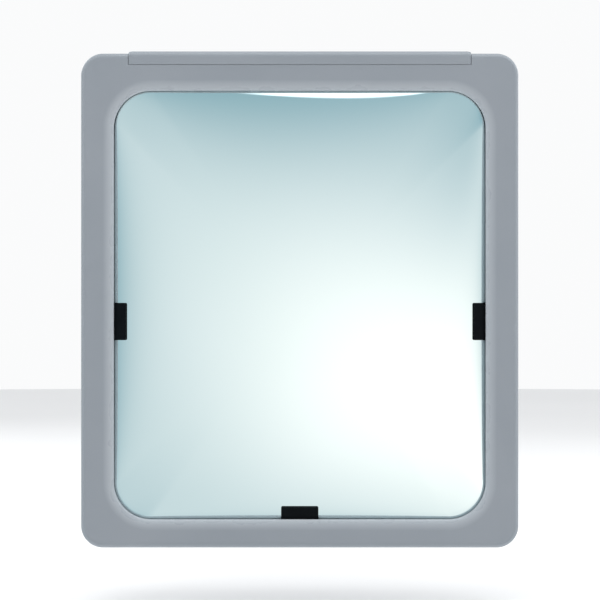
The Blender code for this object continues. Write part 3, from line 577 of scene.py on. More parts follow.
def zinc_steel():
    """Bright zinc plating: crystalline mottle, light scuffs, duller in patches."""
    s = Surface("zinc_steel_look", Metallic=1.0)
    mottled = s.between(s.cells(650.0), 0.1, 0.6)
    base = s.mix(mottled, (0.56, 0.57, 0.58, 1), (0.70, 0.70, 0.68, 1))
    dull = s.between(s.noise(210.0, 4.0), 0.52, 0.72, 0.0, 0.45)
    s.colour(s.mix(dull, base, (0.46, 0.45, 0.42, 1)))
    s.roughness(s.between(s.noise(480.0, 4.0), 0.3, 0.7, 0.22, 0.42))
    s.raise_by(s.noise(1600.0, 3.0), 0.015 * MM, 0.6)
    return s.material


def painted_steel():
    """Dark powder coat: orange-peel bump, soft sheen, paler where edges rub."""
    s = Surface("painted_steel_look", Specular_IOR_Level=0.5)
    drift = s.between(s.noise(30.0, 3.0), 0.3, 0.7)
    base = s.mix(drift, (0.040, 0.044, 0.049, 1), (0.055, 0.060, 0.066, 1))
    worn = s.math("MULTIPLY", s.edges(0.9 * MM), s.between(s.noise(190.0, 5.0), 0.5, 0.72))
    s.colour(s.mix(s.math("MULTIPLY", worn, 0.7), base, (0.24, 0.25, 0.26, 1)))
    s.roughness(s.between(s.noise(90.0, 4.0), 0.3, 0.7, 0.36, 0.5))
    s.raise_by(s.noise(750.0, 1.0), 0.05 * MM, 0.7)
    return s.material


def white_nylon():
    """Off-white nylon of the friction discs, with turning rings and a little grime."""
    s = Surface("white_nylon_look", Specular_IOR_Level=0.45, Subsurface_Weight=0.08)
    grime = s.between(s.noise(160.0, 4.0), 0.45, 0.75, 0.0, 0.5)
    s.colour(s.mix(grime, (0.76, 0.75, 0.71, 1), (0.58, 0.56, 0.50, 1)))
    s.roughness(s.between(s.noise(300.0), 0.3, 0.7, 0.42, 0.58))
    s.raise_by(s.noise(900.0, 2.0), 0.02 * MM, 0.6)
    return s.material


def brass():
    """Knurled brass inserts, slightly tarnished."""
    s = Surface("brass_look", Metallic=1.0)
    tarnish = s.between(s.noise(260.0, 4.0), 0.4, 0.7)
    s.colour(s.mix(tarnish, (0.74, 0.55, 0.25, 1), (0.50, 0.36, 0.16, 1)))
    s.roughness(s.between(s.noise(500.0, 3.0), 0.3, 0.7, 0.24, 0.45))
    s.raise_by(s.noise(1200.0, 2.0), 0.02 * MM, 0.6)
    return s.material


def foam():
    """Closed-cell foam: small open pits over a matt skin, with painted shade darkening the pits."""
    s = Surface("foam_look", Specular_IOR_Level=0.25)
    pits = s.cells(1500.0)
    # Painted shade: the colour is darker towards each pit's middle, where the bump sinks deepest
    s.colour(s.mix(s.between(pits, 0.05, 0.5), (0.018, 0.021, 0.022, 1), (0.045, 0.050, 0.052, 1)))
    s.roughness(s.between(s.noise(700.0), 0.3, 0.7, 0.82, 0.95))
    s.raise_by(pits, 0.12 * MM, 0.8)
    return s.material


def floor_paper():
    """Pale studio paper with a faint fibre."""
    s = Surface("floor_paper_look", Specular_IOR_Level=0.1)
    drift = s.between(s.noise(1.2, 3.0), 0.3, 0.7)
    s.colour(s.mix(drift, (0.885, 0.890, 0.895, 1), (0.90, 0.905, 0.91, 1)))
    s.roughness(s.between(s.noise(40.0), 0.3, 0.7, 0.85, 0.95))
    s.raise_by(s.noise(600.0, 3.0), 0.05 * MM, 0.4)
    return s.material


GREY_PLASTIC = grey_plastic()
MIRROR_SILVER = mirror_silver()
MIRROR_EDGE = mirror_edge()
MIRROR_BACKING = mirror_backing()
BLACK_NYLON = black_nylon()
ZINC_STEEL = zinc_steel()
PAINTED_STEEL = painted_steel()
WHITE_NYLON = white_nylon()
BRASS = brass()
FOAM = foam()


# ---------------------------------------------------------------- head


def strip_path(inset, steps=12):
    """Points (depth, z) parallel to the strip's outside, from its front foot over the top."""
    front, back = strip_low.y - FACE_Y + inset, strip_high.y - FACE_Y - inset
    top, radius = strip_high.z - inset, STRIP_ROUND - inset
    points = [(front, STRIP_FRONT_FOOT)]
    points += arc_points((front + radius, top - radius), radius, 180, 90, steps)
    points += arc_points((back - radius, top - radius), radius, 90, 0, steps)
    points.append((back, STRIP_BACK_FOOT))
    return points


def strip_rebate():
    """Clears the strip's place out of the frame, a gap larger all round."""
    inner = strip_path(STRIP_THICKNESS + GAP)
    inner[0] = (inner[0][0], STRIP_FRONT_FOOT - GAP)
    inner[-1] = (inner[-1][0], STRIP_BACK_FOOT - GAP)
    beyond = 5 * MM
    outside = [
        (strip_high.y - FACE_Y + beyond, inner[-1][1]),
        (strip_high.y - FACE_Y + beyond, strip_high.z + beyond),
        (strip_low.y - FACE_Y - beyond, strip_high.z + beyond),
        (strip_low.y - FACE_Y - beyond, inner[0][1]),
    ]
    return prism("rebate", inner + outside, strip_high.x + GAP, *across())


def clip_places():
    """(name, x, z, turn about Y) of each clip's place on the opening's edge."""
    bottom = OPENING_CENTRE_Z - OPENING_HALF_HEIGHT
    middle_z = {}
    for name in ("left", "right"):
        low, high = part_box(f"clip_{name}")
        middle_z[name] = (low.z + high.z) / 2
    return (
        ("left", -OPENING_HALF_WIDTH, middle_z["left"], 0.0),
        ("right", OPENING_HALF_WIDTH, middle_z["right"], math.pi),
        ("bottom", 0.0, bottom, -math.pi / 2),
    )


def skirt_ring(outset):
    """The end of the lip's skirt, which stops earlier round the top."""
    ring = []
    for x, _, z in opening_ring(outset, 0):
        share = (z - SKIRT_RISE_START) / (SKIRT_RISE_END - SKIRT_RISE_START)
        share = min(max(share, 0.0), 1.0)
        ring.append((x, depth_to_y(SKIRT_BACK + share * (SKIRT_BACK_TOP - SKIRT_BACK)), z))
    return ring


def make_frame():
    """The moulded front frame, with a rounded lip round the opening and a ledge behind it."""
    wall = FRAME_WALL
    rings = [
        head_ring(SEAM_CHAMFER, FRAME_BACK),
        head_ring(SEAM_MIDDLE, FRAME_BACK - SEAM_MIDDLE),
        head_ring(0, FRAME_BACK - SEAM_CHAMFER),
    ]
    for depth in (20, 15, 10, 7):
        rings.append(head_ring(0, depth * MM))
    steps = 12
    for step in range(steps + 1):
        angle = math.pi / 2 * step / steps
        inset = EDGE_ROUND * (1 - math.cos(angle))
        rings.append(head_ring(inset, EDGE_ROUND * (1 - math.sin(angle))))
    rings.append(head_ring(EDGE_ROUND + 1 * MM, 0))
    rings.append(opening_ring(LIP_WIDTH + 1 * MM, 0))
    steps = 16
    for step in range(steps + 1):
        angle = math.pi / 2 * step / steps
        outset = (LIP_WIDTH + LIP_OVERLAP) * (1 - math.sin(angle)) - LIP_OVERLAP
        rings.append(opening_ring(outset, LIP_FRONT * (1 - math.cos(angle))))
    rings += [
        skirt_ring(-LIP_OVERLAP),
        skirt_ring(-LIP_OVERLAP + SKIRT_WIDTH),
        opening_ring(-LIP_OVERLAP + SKIRT_WIDTH, LIP_BACK),
        opening_ring(RECESS_OUTSET, LIP_BACK),
        opening_ring(RECESS_OUTSET, LEDGE_FRONT),
        opening_ring(-LEDGE_INSET, LEDGE_FRONT),
        opening_ring(-LEDGE_INSET, LEDGE_BACK),
        opening_ring(RECESS_OUTSET + wall, LEDGE_BACK),
        opening_ring(RECESS_OUTSET + wall, wall),
        head_ring(2 * wall, wall),
        head_ring(wall, 2 * wall),
        head_ring(wall, FRAME_BACK),
    ]
    obj = lofted("moulded_frame", rings, closed=True)
    cuts = [strip_rebate()]
    for name, x, z, spin in clip_places():
        for kind, shift, half_depth, depth in (
            ("slot", 0, SLOT_HALF, LEDGE_FRONT + 2 * MM),
            ("notch", NOTCH_SHIFT, NOTCH_HALF, LIP_BACK + NOTCH_HALF),
        ):
            low, high = SHANK_OUT - GAP + shift, SHANK_IN + GAP + shift
            outline = block_outline(low, high, CLIP_LENGTH / 2 + GAP)
            cutter = prism(f"{kind}_{name}", outline, half_depth, (x, depth_to_y(depth), z), (0, spin, 0))
            cutter.data.transform(Matrix.Rotation(math.pi / 2, 4, "X"))
            cuts.append(cutter)
    combine(obj, cuts=cuts)
    smooth(obj)
    weigh_normals(obj)
    finish(obj, "head", GREY_PLASTIC, "front_frame")


def shell_rings():
    """Rings over the shell's outside, from its seam to the raised plateau behind."""
    rings = [
        head_ring(SEAM_CHAMFER, SHELL_FRONT),
        head_ring(SEAM_MIDDLE, SHELL_FRONT + SEAM_MIDDLE),
        head_ring(0, SHELL_FRONT + SEAM_CHAMFER),
    ]
    steps = 8
    for step in range(steps + 1):
        angle = math.pi / 2 * step / steps
        inset = BAND_ROUND * (1 - math.cos(angle))
        rings.append(head_ring(inset, BAND_BACK - BAND_ROUND * (1 - math.sin(angle))))
    rings.append(head_ring(BAND_ROUND + 1 * MM, BAND_BACK))
    steps = 14
    for step in range(steps + 1):
        share = step / steps
        rise = 0.35 * share * share * (3 - 2 * share) + 0.65 * share
        inset = SLOPE_START + share * (SLOPE_END - SLOPE_START)
        depth = BAND_BACK + rise * (SHELL_BACK - BAND_BACK)
        rings.append(head_ring(inset, depth, SLOPE_RADIUS - share * SLOPE_TIGHTENING))
    return rings


def groove(name, outline_ring, radius):
    """A round-bottomed groove cutter that follows a closed ring of points lying at one depth."""
    points = [Vector(point) for point in outline_ring]
    backwards = Vector((0, 1, 0))
    rings = []
    for i, point in enumerate(points):
        along = (points[(i + 1) % len(points)] - points[i - 1]).normalized()
        side = along.cross(backwards).normalized()
        section = []
        for step in range(10):
            angle = math.tau * step / 10
            section.append(point + (side * math.cos(angle) + backwards * math.sin(angle)) * radius)
        rings.append(section)
    return lofted(name, rings, closed=True)


def rib(name, ends, sx, sz):
    """A raised stiffening rib on the shell's plateau, mirrored by the signs of sx and sz."""
    start, end = (Vector((sx * x, sz * z)) for x, z in ends)
    along = (end - start).normalized()
    normal = Vector((-along.y, along.x))
    outline = []
    for centre, turn in ((end, 0), (start, math.pi)):
        for step in range(9):
            angle = -math.pi / 2 + math.pi * step / 8 + turn
            offset = along * math.cos(angle) + normal * math.sin(angle)
            outline.append((centre, offset))
    rings = []
    for step in range(6):
        angle = math.pi / 2 * step / 5
        spread = RIB_HALF_WIDTH * (0.45 + 0.55 * math.cos(angle))
        depth = SHELL_BACK + RIB_HEIGHT * math.sin(angle)
        rings.append([(c + o * spread, depth) for c, o in outline])
    rings.insert(0, [(c + o * RIB_HALF_WIDTH, SHELL_BACK - 1 * MM) for c, o in outline])
    return lofted(name, [[(p.x, depth_to_y(depth), p.y) for p, depth in ring] for ring in rings])


def screw_spots(prefix):
    """(x, z) of each screw whose node name starts with the prefix."""
    spots = []
    for name in frame["nodes"]:
        if name.startswith(prefix):
            low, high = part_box(name)
            spots.append(((low.x + high.x) / 2, (low.z + high.z) / 2))
    return spots


def make_shell():
    """The rear shell, with a groove round its plateau, ribs and a ring round each screw."""
    skinned = mesh_from("moulded_shell", lambda bm: skin(bm, shell_rings(), cap_last=True))
    shell = add_object("moulded_shell", skinned)
    solid = shell.modifiers.new("Solidify", "SOLIDIFY")
    solid.thickness = SHELL_WALL
    solid.offset = -1
    solid.use_even_offset = True
    freeze(shell)
    ribs = []
    for sx in (-1, 1):
        for sz in (-1, 1):
            ribs.append(rib(f"rib_{sx}_{sz}", CORNER_RIB, sx, sz))
        ribs.append(rib(f"rib_{sx}_x", SIDE_RIB, sx, 1))
    for sz in (-1, 1):
        ribs.append(rib(f"rib_{sz}_z", TOP_RIB, 1, sz))
    inset = SLOPE_END + PLATEAU_GROOVE_INSET
    outline = head_ring(inset, SHELL_BACK, PLATEAU_GROOVE_CORNER)
    grooves = [groove("plateau_groove", outline, PLATEAU_GROOVE_RADIUS)]
    holes = []
    for prefix, depth, radius in (
        ("frame_screw_", BAND_BACK, 2.05 * MM),
        ("strip_screw_", BAND_BACK, SCREW_HOLE),
        ("fork_screw_", SHELL_BACK, 2.8 * MM),
    ):
        for i, (x, z) in enumerate(screw_spots(prefix)):
            place = (x, depth_to_y(depth), z)
            holes.append(cylinder(f"{prefix}hole_{i}", radius, 8 * MM, place, facing_wall(), 24))
            if prefix == "frame_screw_":
                circle = arc_points((x, z), SCREW_RING_RADIUS, 0, 360, 40)[:-1]
                ring = [(px, depth_to_y(BAND_BACK), pz) for px, pz in circle]
                grooves.append(groove(f"ring_{i}", ring, SCREW_RING_GROOVE))
    combine(shell, cuts=[*grooves, *holes], joins=ribs)
    smooth(shell)
    weigh_normals(shell)
    finish(shell, "head", GREY_PLASTIC, "rear_shell")


def make_strip():
    """The channel that clamps frame and shell together along the top, rounded over at its ends."""
    inner = strip_path(STRIP_THICKNESS)
    stations = []
    for step in range(9):
        angle = math.pi / 2 * step / 8
        stations.append((END_LENGTH * (1 - math.cos(angle)), END_DROP * (1 - math.sin(angle))))
    half = strip_high.x
    places = [(-half + along, drop) for along, drop in stations]
    places += [(half - along, drop) for along, drop in reversed(stations)]
    rings = []
    for place, drop in places:
        outline = strip_path(drop) + inner[::-1]
        rings.append([(depth, z, place) for depth, z in outline])
    strip = lofted("clamp_strip", rings, *across())
    holes = []
    for i, (x, z) in enumerate(screw_spots("strip_screw_")):
        place = (x, strip_high.y, z)
        holes.append(cylinder(f"strip_hole_{i}", SCREW_HOLE, 5 * MM, place, facing_wall(), 24))
    combine(strip, cuts=holes)
    smooth(strip, bevel=0.45 * MM, segments=3, bevel_angle=50)
    finish(strip, "head", GREY_PLASTIC, "top_clamp_strip")


def pillow(x, z):
    """A pillow over a rectangle a little larger than the mirror: 1 in the middle, 0 at its edges."""
    half_width, half_height = MIRROR_HALF_WIDTH + DOME_MARGIN, MIRROR_HALF_HEIGHT + DOME_MARGIN
    return ((1 - (x / half_width) ** 2) * (1 - (z / half_height) ** 2)) ** DOME_POWER


def mirror_rise(x, z, share):
    """Height of the dome over its rim, at this share of the way from its middle to a rim point."""
    return MIRROR_RISE * (pillow(x * share, z * share) - share**RIM_BLEND * pillow(x, z))


def dome_ring(share, behind, inset=0.0):
    outline = rounded_rectangle(
        MIRROR_HALF_WIDTH - inset, MIRROR_HALF_HEIGHT - inset, MIRROR_RADIUS - inset, 28, 40
    )
    ring = []
    for x, z in outline:
        depth = RIM_FRONT + behind - mirror_rise(x, z, share)
        ring.append((x * share, depth_to_y(depth), z * share + MIRROR_CENTRE_Z))
    return ring


def make_mirror():
    """The domed mirror sheet, silvered in front, with a polished edge and a painted back."""
    steps = 56
    shares = [0.004] + [(step / steps) ** 0.8 for step in range(1, steps)]
    edge = 0.4 * MM
    front = [dome_ring(share, 0) for share in shares] + [dome_ring(1.0, 0, edge)]
    front += [dome_ring(1.0, 0.12 * MM, 0.12 * MM), dome_ring(1.0, edge)]
    side = [dome_ring(1.0, MIRROR_THICKNESS - edge), dome_ring(1.0, MIRROR_THICKNESS, edge)]
    back = [dome_ring(share, MIRROR_THICKNESS) for share in reversed(shares[::4])]
    mirror = lofted("domed_mirror", front + side + back)
    count = len(front[0])
    silvered, with_edge = len(front) - 1, len(front) + len(side) - 1
    front_cap = (len(front) + len(side) + len(back) - 1) * count
    for material in (MIRROR_SILVER, MIRROR_EDGE, MIRROR_BACKING):
        mirror.data.materials.append(material)
    for i, polygon in enumerate(mirror.data.polygons):
        band = i // count
        if band < silvered or i == front_cap:
            polygon.material_index = 0
        elif band < with_edge:
            polygon.material_index = 1
        else:
            polygon.material_index = 2
    smooth(mirror, angle=50)
    finish(mirror, "head", MIRROR_SILVER, "mirror_panel")


def make_foam():
    """The gasket under the mirror's rim and the packing above its top edge, both softly rounded."""
    low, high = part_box("mirror_gasket")
    front, back = low.y - FACE_Y, high.y - FACE_Y
    outer = MIRROR_HALF_WIDTH - high.x
    inner = outer + 5.6 * MM
    soft = 0.35 * MM
    profile = [(outer + soft, front), (inner - soft, front), (inner, front + soft), (inner, back - soft)]
    profile += [(inner - soft, back), (outer + soft, back), (outer, back - soft), (outer, front + soft)]
    gasket = lofted("foam_gasket", [mirror_ring(inset, depth) for inset, depth in profile], closed=True)
    smooth(gasket, angle=60)
    finish(gasket, "head", FOAM, "mirror_gasket")

    low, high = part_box("top_edge_packing")
    centre, half = (low + high) / 2, (high - low) / 2
    outline = rounded_rectangle(half.x, half.z, 1.1 * MM, 6, 12)
    rings = []
    full = half.y - 0.2 * MM
    for y, inset in ((-half.y, 0.3 * MM), (-full, 0), (full, 0), (half.y, 0.3 * MM)):
        shrink_x, shrink_z = (half.x - inset) / half.x, (half.z - inset) / half.z
        rings.append([(x * shrink_x, y, z * shrink_z) for x, z in outline])
    packing = lofted("foam_packing", rings, centre)
    smooth(packing, angle=60)
    finish(packing, "head", FOAM, "top_edge_packing")


def clip_section(rim_x, rim_z, reach):
    """Outline (inboard, depth) of a hook whose nose ends at the given reach."""
    mirror_edge = 0.5 * MM
    half_side = math.hypot(rim_x, rim_z)
    under, over = [], []
    for step in range(9):
        run = mirror_edge + (reach - mirror_edge) * step / 8
        rise = mirror_rise(rim_x, rim_z, 1 - (run - mirror_edge) / half_side)
        under.append((run, RIM_FRONT - GAP - rise))
        over.append((run, RIM_FRONT - GAP - CLIP_THICKNESS - rise))
    shoulder = LIP_BACK + GAP
    foot_front = LEDGE_BACK + GAP
    foot_back = foot_front + CLIP_THICKNESS
    hook = [
        (SHANK_OUT, shoulder),
        (SHANK_OUT, foot_back),
        (CLIP_FOOT, foot_back),
        (CLIP_FOOT, foot_front),
        (SHANK_IN, foot_front),
        (SHANK_IN, shoulder + CLIP_THICKNESS),
    ]
    return hook + under + over[::-1]


def make_clips():
    """Hooks with round corners at the nose, extruded along the opening's edge."""
    half = CLIP_LENGTH / 2
    ends = []
    for step in range(7):
        angle = math.pi / 2 * step / 6
        ends.append((CLIP_CORNER * (1 - math.cos(angle)), CLIP_CORNER * (1 - math.sin(angle))))
    stations = [(-half + along, back) for along, back in ends]
    stations += [(half - along, back) for along, back in reversed(ends)]
    for name, x, z, spin in clip_places():
        rim_x, rim_z = (0, MIRROR_HALF_HEIGHT) if name == "bottom" else (MIRROR_HALF_WIDTH, 0)
        rings = []
        for along, back in stations:
            section = clip_section(rim_x, rim_z, CLIP_REACH - back)
            rings.append([(inboard, depth, along) for inboard, depth in section])
        clip = lofted(f"hook_{name}", rings, (x, depth_to_y(0), z), (0, spin, 0))
        hole_x, hole_z = x + CLIP_SCREW_INSET * math.cos(spin), z - CLIP_SCREW_INSET * math.sin(spin)
        place = (hole_x, depth_to_y(LEDGE_BACK), hole_z)
        hole = cylinder("clip_hole", SCREW_HOLE, 6 * MM, place, facing_wall(), 24)
        combine(clip, cuts=[hole])
        smooth(clip, bevel=0.3 * MM, segments=3, bevel_angle=40)
        finish(clip, "head", BLACK_NYLON, f"clip_{name}")


# ---------------------------------------------------------------- fasteners


def pan_head_mesh(name, shank, head, height, length):
    """A domed screw with a cross recess, its seat at height 0 and its shank pointing down."""
    profile = [(0, height)]
    for step in range(1, 10):
        angle = math.radians(90 - 9 * step)
        radius = head * math.cos(angle)
        profile.append((radius, height * (0.25 + 0.75 * math.sin(angle) ** 0.8)))
    profile += [(head, 0.12 * height), (0.97 * head, 0), (shank, 0)]
    turns = 8
    for turn in range(turns * 2):
        z = -(length - shank) * (turn + 0.5) / (turns * 2)
        profile.append((shank * (1.0 if turn % 2 else 0.86), z))
    profile += [(shank * 0.8, -length + shank), (0.35 * shank, -length), (0, -length)]
    screw = turned(name, profile, 40)
    arm, slot_width, sunk = 0.62 * head, 0.22 * head, 0.75 * height
    top = height + 0.2 * MM

    def cross(bm):
        for turn in (0, math.pi / 2):
            rings = []
            for z, share in ((top, 1.12), (height, 1.0), (height - sunk, 0.45)):
                half_arm, half_width = arm * share, slot_width * (0.7 + 0.3 * share)
                ring = block_outline(-half_arm, half_arm, half_width)
                c, s = math.cos(turn), math.sin(turn)
                rings.append([(x * c - y * s, x * s + y * c, z) for x, y in ring])
            skin(bm, rings, cap_first=True, cap_last=True)

    combine(screw, cuts=[add_object("cross", mesh_from("cross", cross))])
    smooth(screw, angle=38)
    mesh = screw.data
    bpy.data.objects.remove(screw, do_unlink=True)
    return mesh


def make_screws():
    """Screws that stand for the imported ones, each turned a little differently in its hole."""
    for prefix, piece, shank, head, height, length in (
        ("frame_screw_", "shell_screw_", 1.75 * MM, 3.5 * MM, 2.2 * MM, 14.0 * MM),
        ("strip_screw_", "clamp_screw_", 1.45 * MM, 2.9 * MM, 1.6 * MM, 6.0 * MM),
        ("fork_screw_", "fixing_screw_", 2.5 * MM, 4.75 * MM, 3.0 * MM, 11.0 * MM),
    ):
        mesh = pan_head_mesh(piece + "mesh", shank, head, height, length)
        for i, name in enumerate(n for n in sorted(frame["nodes"]) if n.startswith(prefix)):
            low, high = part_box(name)
            place = ((low.x + high.x) / 2, high.y - height, (low.z + high.z) / 2)
            driven = Matrix.Rotation(FIRST_SCREW_TURN + i * NEXT_SCREW_TURN, 3, "Z")
            rotation = (Matrix.Rotation(-math.pi / 2, 3, "X") @ driven).to_euler()
            screw = add_object(piece + name[len(prefix) :], mesh.copy(), place, rotation)
            finish(screw, "head", ZINC_STEEL, name)


def ring_profile(inner, outer, half, soft):
    """Section of a flat ring with softened corners."""
    facet = 0.3 * soft
    upper = [(inner + soft, half), (outer - soft, half), (outer - facet, half - facet), (outer, half - soft)]
    lower = [(outer, soft - half), (outer - facet, facet - half), (outer - soft, -half)]
    lower += [(inner + soft, -half), (inner, soft - half)]
    return upper + lower + [(inner, half - soft)]


def make_pivot(kind, body_of, place, rotation, knob_body):
    """Washers, discs, bolt and knob of one pivot, its knob at local +Z."""
    for name in sorted(n for n in frame["nodes"] if n.startswith(kind + "_")):
        disc = "_disc_" in name
        if not disc and "_washer_" not in name:
            continue
        low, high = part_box(name)
        size = high - low
        profile = ring_profile(BORE, max(size) / 2, min(size) / 2, (0.25 if disc else 0.35) * MM)
        ring = turned(f"fine_{name}", profile, 72, (low + high) / 2, rotation)
        smooth(ring, angle=50)
        slot, look = ("white_nylon", WHITE_NYLON) if disc else ("zinc_steel", ZINC_STEEL)
        finish(ring, body_of[name], look, name)
    make_bolt(kind, place, rotation, body_of[f"{kind}_bolt"])
    make_knob(kind, place, rotation, knob_body)


def make_bolt(kind, place, rotation, body):
    """A hexagon bolt with a chamfered head, a washer face and a plain shank."""
    radius = HEX_RADIUS
    outline = []
    for i in range(6):
        outline.append((radius * math.cos(math.tau * i / 6), radius * math.sin(math.tau * i / 6)))
    low, high = -PIVOT_SEAT - HEX_HEIGHT, -PIVOT_SEAT
    rings = [[(x, y, z) for x, y in outline] for z in (low, high)]
    bolt = lofted(f"{kind}_hex_bolt", rings, place, rotation)
    beyond = radius + 1 * MM
    cone = [(0, high + 1 * MM), (beyond, high + 1 * MM), (beyond, low + 1.15 * MM)]
    cone += [(radius * 0.86, low), (radius * 0.82, low - 0.2 * MM), (0, low - 0.2 * MM)]
    combine(bolt, limits=[turned("limit", cone, 72, place, rotation)])
    tip = PIVOT_SEAT + BOLT_REACH
    shank_profile = [(0, tip), (BOLT_RADIUS - 0.6 * MM, tip), (BOLT_RADIUS, tip - 0.6 * MM)]
    shank_profile += [(BOLT_RADIUS, low + 2 * MM), (0, low + 2 * MM)]
    shank = turned("shank", shank_profile, 48, place, rotation)
    dish_profile = [(0, low - 1 * MM), (4.2 * MM, low - 1 * MM), (4.2 * MM, low)]
    dish_profile += [(3.6 * MM, low + 0.35 * MM), (0, low + 0.35 * MM)]
    combine(bolt, cuts=[turned("dish", dish_profile, 48, place, rotation)], joins=[shank])
    smooth(bolt, angle=25)
    finish(bolt, body, ZINC_STEEL, f"{kind}_bolt")


def make_knob(kind, place, rotation, body):
    """A five-lobed clamp knob with a hub, a soft skirt and a shallow dished top."""
    count = 150
    rings = []
    for height, share, lobed in KNOB_LEVELS:
        ring = []
        for i in range(count):
            angle = math.tau * i / count
            wave = math.cos(KNOB_LOBES * angle)
            wave = wave - 0.12 * (1 - wave * wave)
            radius = KNOB_RADIUS * share + KNOB_LOBE * lobed * wave
            ring.append((radius * math.cos(angle), radius * math.sin(angle), PIVOT_SEAT + height * MM))
        rings.append(ring)
    knob = lofted(f"{kind}_grip", rings, place, rotation)
    top, bottom = PIVOT_SEAT + INSERT_BORE_DEPTH, PIVOT_SEAT - 1 * MM
    profile = [(0, top), (INSERT_BORE_RADIUS, top), (INSERT_BORE_RADIUS, bottom), (0, bottom)]
    combine(knob, cuts=[turned("bore", profile, 48, place, rotation)])
    smooth(knob, angle=45)
    finish(knob, body, BLACK_NYLON, f"{kind}_knob")


# ---------------------------------------------------------------- bracket


def soft_levels(thickness, soft):
    """(height, inset) of the outlines through a plate with softened edges."""
    half = thickness / 2
    levels = [(-half, soft), (-half + 0.3 * soft, 0.3 * soft), (-half + soft, 0)]
    return levels + [(-z, inset) for z, inset in reversed(levels)]


def plate(name, half_width, half_height, thickness, radius, soft, location):
    """A rounded plate parallel to the wall, with softened edges."""
    rings = []
    for z, inset in soft_levels(thickness, soft):
        outline = rounded_rectangle(half_width - inset, half_height - inset, radius - inset, 12, 4)
        rings.append([(x, y, z) for x, y in outline])
    return lofted(name, rings, location, facing_wall())


def ear(name, reach, location, rotation):
    """A plate from x = 0 to a round end at x = reach in its own XY plane, with a flared foot."""
    foot, turns = 4 * MM, (0.4, 0.8, 1.2, math.pi / 2)
    flare = [(foot * (1 - math.cos(turn)), EAR_RADIUS + foot * (1 - math.sin(turn))) for turn in turns]
    rings = []
    for z, inset in soft_levels(EAR_THICKNESS, 0.5 * MM):
        upper = [(0, EAR_RADIUS + foot - inset)] + [(x, y - inset) for x, y in flare]
        tip = arc_points((reach, 0), EAR_RADIUS - inset, 90, -90, 36)
        lower = [(x, -y) for x, y in reversed(upper)]
        rings.append([(x, y, z) for x, y in upper + tip + lower])
    return lofted(name, rings, location, rotation)


def fillet(name):
    """A concave fillet along local Z: its square corner at the origin, its legs along +X and +Y."""
    radius, sunk = FILLET_RADIUS, -0.5 * MM
    outline = [(sunk, sunk), (radius, sunk), (radius, 0)]
    for turn in (0.3, 0.6, 0.9, 1.2):
        outline.append((radius - radius * math.sin(turn), radius - radius * math.cos(turn)))
    outline += [(0, radius), (sunk, radius)]
    return prism(name, outline, FILLET_LENGTH / 2)


def make_fork():
    """The tilt pivot's fork on the back of the head."""
    low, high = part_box("tilt_fork")
    base_y = low.y + FORK_THICKNESS / 2
    fork = plate("yoke_fork", high.x, high.z, FORK_THICKNESS, FORK_RADIUS, 0.6 * MM, (0, base_y, 0))
    joins = []
    for side in (-1, 1):
        place = (side * (PIVOT_INNER + EAR_THICKNESS / 2), base_y, 0)
        joins.append(ear(f"fork_ear_{side}", TILT_PLACE.y - base_y, place, (math.pi / 2, 0, math.pi / 2)))
        leg = fillet(f"fork_fillet_{side}")
        leg.location = (side * (PIVOT_INNER + EAR_THICKNESS), base_y + FORK_THICKNESS / 2, 0)
        leg.rotation_euler = (0, 0, 0) if side > 0 else (0, 0, math.pi / 2)
        joins.append(leg)
    cuts = [cylinder("fork_bore", BORE, BORE_HALF_LENGTH, TILT_PLACE, facing_side())]
    for i, (x, z) in enumerate(screw_spots("fork_screw_")):
        cuts.append(cylinder(f"fork_hole_{i}", FORK_HOLE, 12 * MM, (x, base_y, z), facing_wall()))
    combine(fork, cuts=cuts, joins=joins)
    smooth(fork, angle=30)
    finish(fork, "head", PAINTED_STEEL, "tilt_fork")


def make_wall_bracket():
    """The wall plate with the pan pivot's two ears and countersunk screw holes."""
    low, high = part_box("wall_bracket")
    middle_y = -PLATE_THICKNESS / 2
    bracket = plate("wall_yoke", high.x, high.z, PLATE_THICKNESS, PLATE_RADIUS, 0.7 * MM, (0, middle_y, 0))
    joins = []
    for side in (-1, 1):
        place = (0, middle_y, side * (PIVOT_INNER + EAR_THICKNESS / 2))
        joins.append(ear(f"wall_ear_{side}", middle_y - PAN_PLACE.y, place, (0, 0, -math.pi / 2)))
        leg = fillet(f"wall_fillet_{side}")
        # The fillet's legs run outwards along Z and away from the wall along -Y
        leg.matrix_world = Matrix(((0, 0, side), (0, -1, 0), (side, 0, 0))).to_4x4()
        leg.location = (0, -PLATE_THICKNESS, side * (PIVOT_INNER + EAR_THICKNESS))
        joins.append(leg)
    cuts = [cylinder("pan_bore", BORE, BORE_HALF_LENGTH, PAN_PLACE)]
    profile = [(0, 3 * MM), (PLATE_HOLE_RADIUS, 3 * MM), (PLATE_HOLE_RADIUS, -1.6 * MM)]
    profile += [(SINK_RADIUS, -4.4 * MM), (SINK_RADIUS, -6 * MM), (0, -6 * MM)]
    for sx in (-1, 1):
        for sz in (-1, 1):
            place = (sx * PLATE_HOLE_X, 0, sz * PLATE_HOLE_Z)
            cuts.append(turned("wall_hole", profile, 48, place, facing_wall()))
    combine(bracket, cuts=cuts, joins=joins)
    smooth(bracket, angle=30)
    finish(bracket, "wall_mount", PAINTED_STEEL, "wall_bracket")


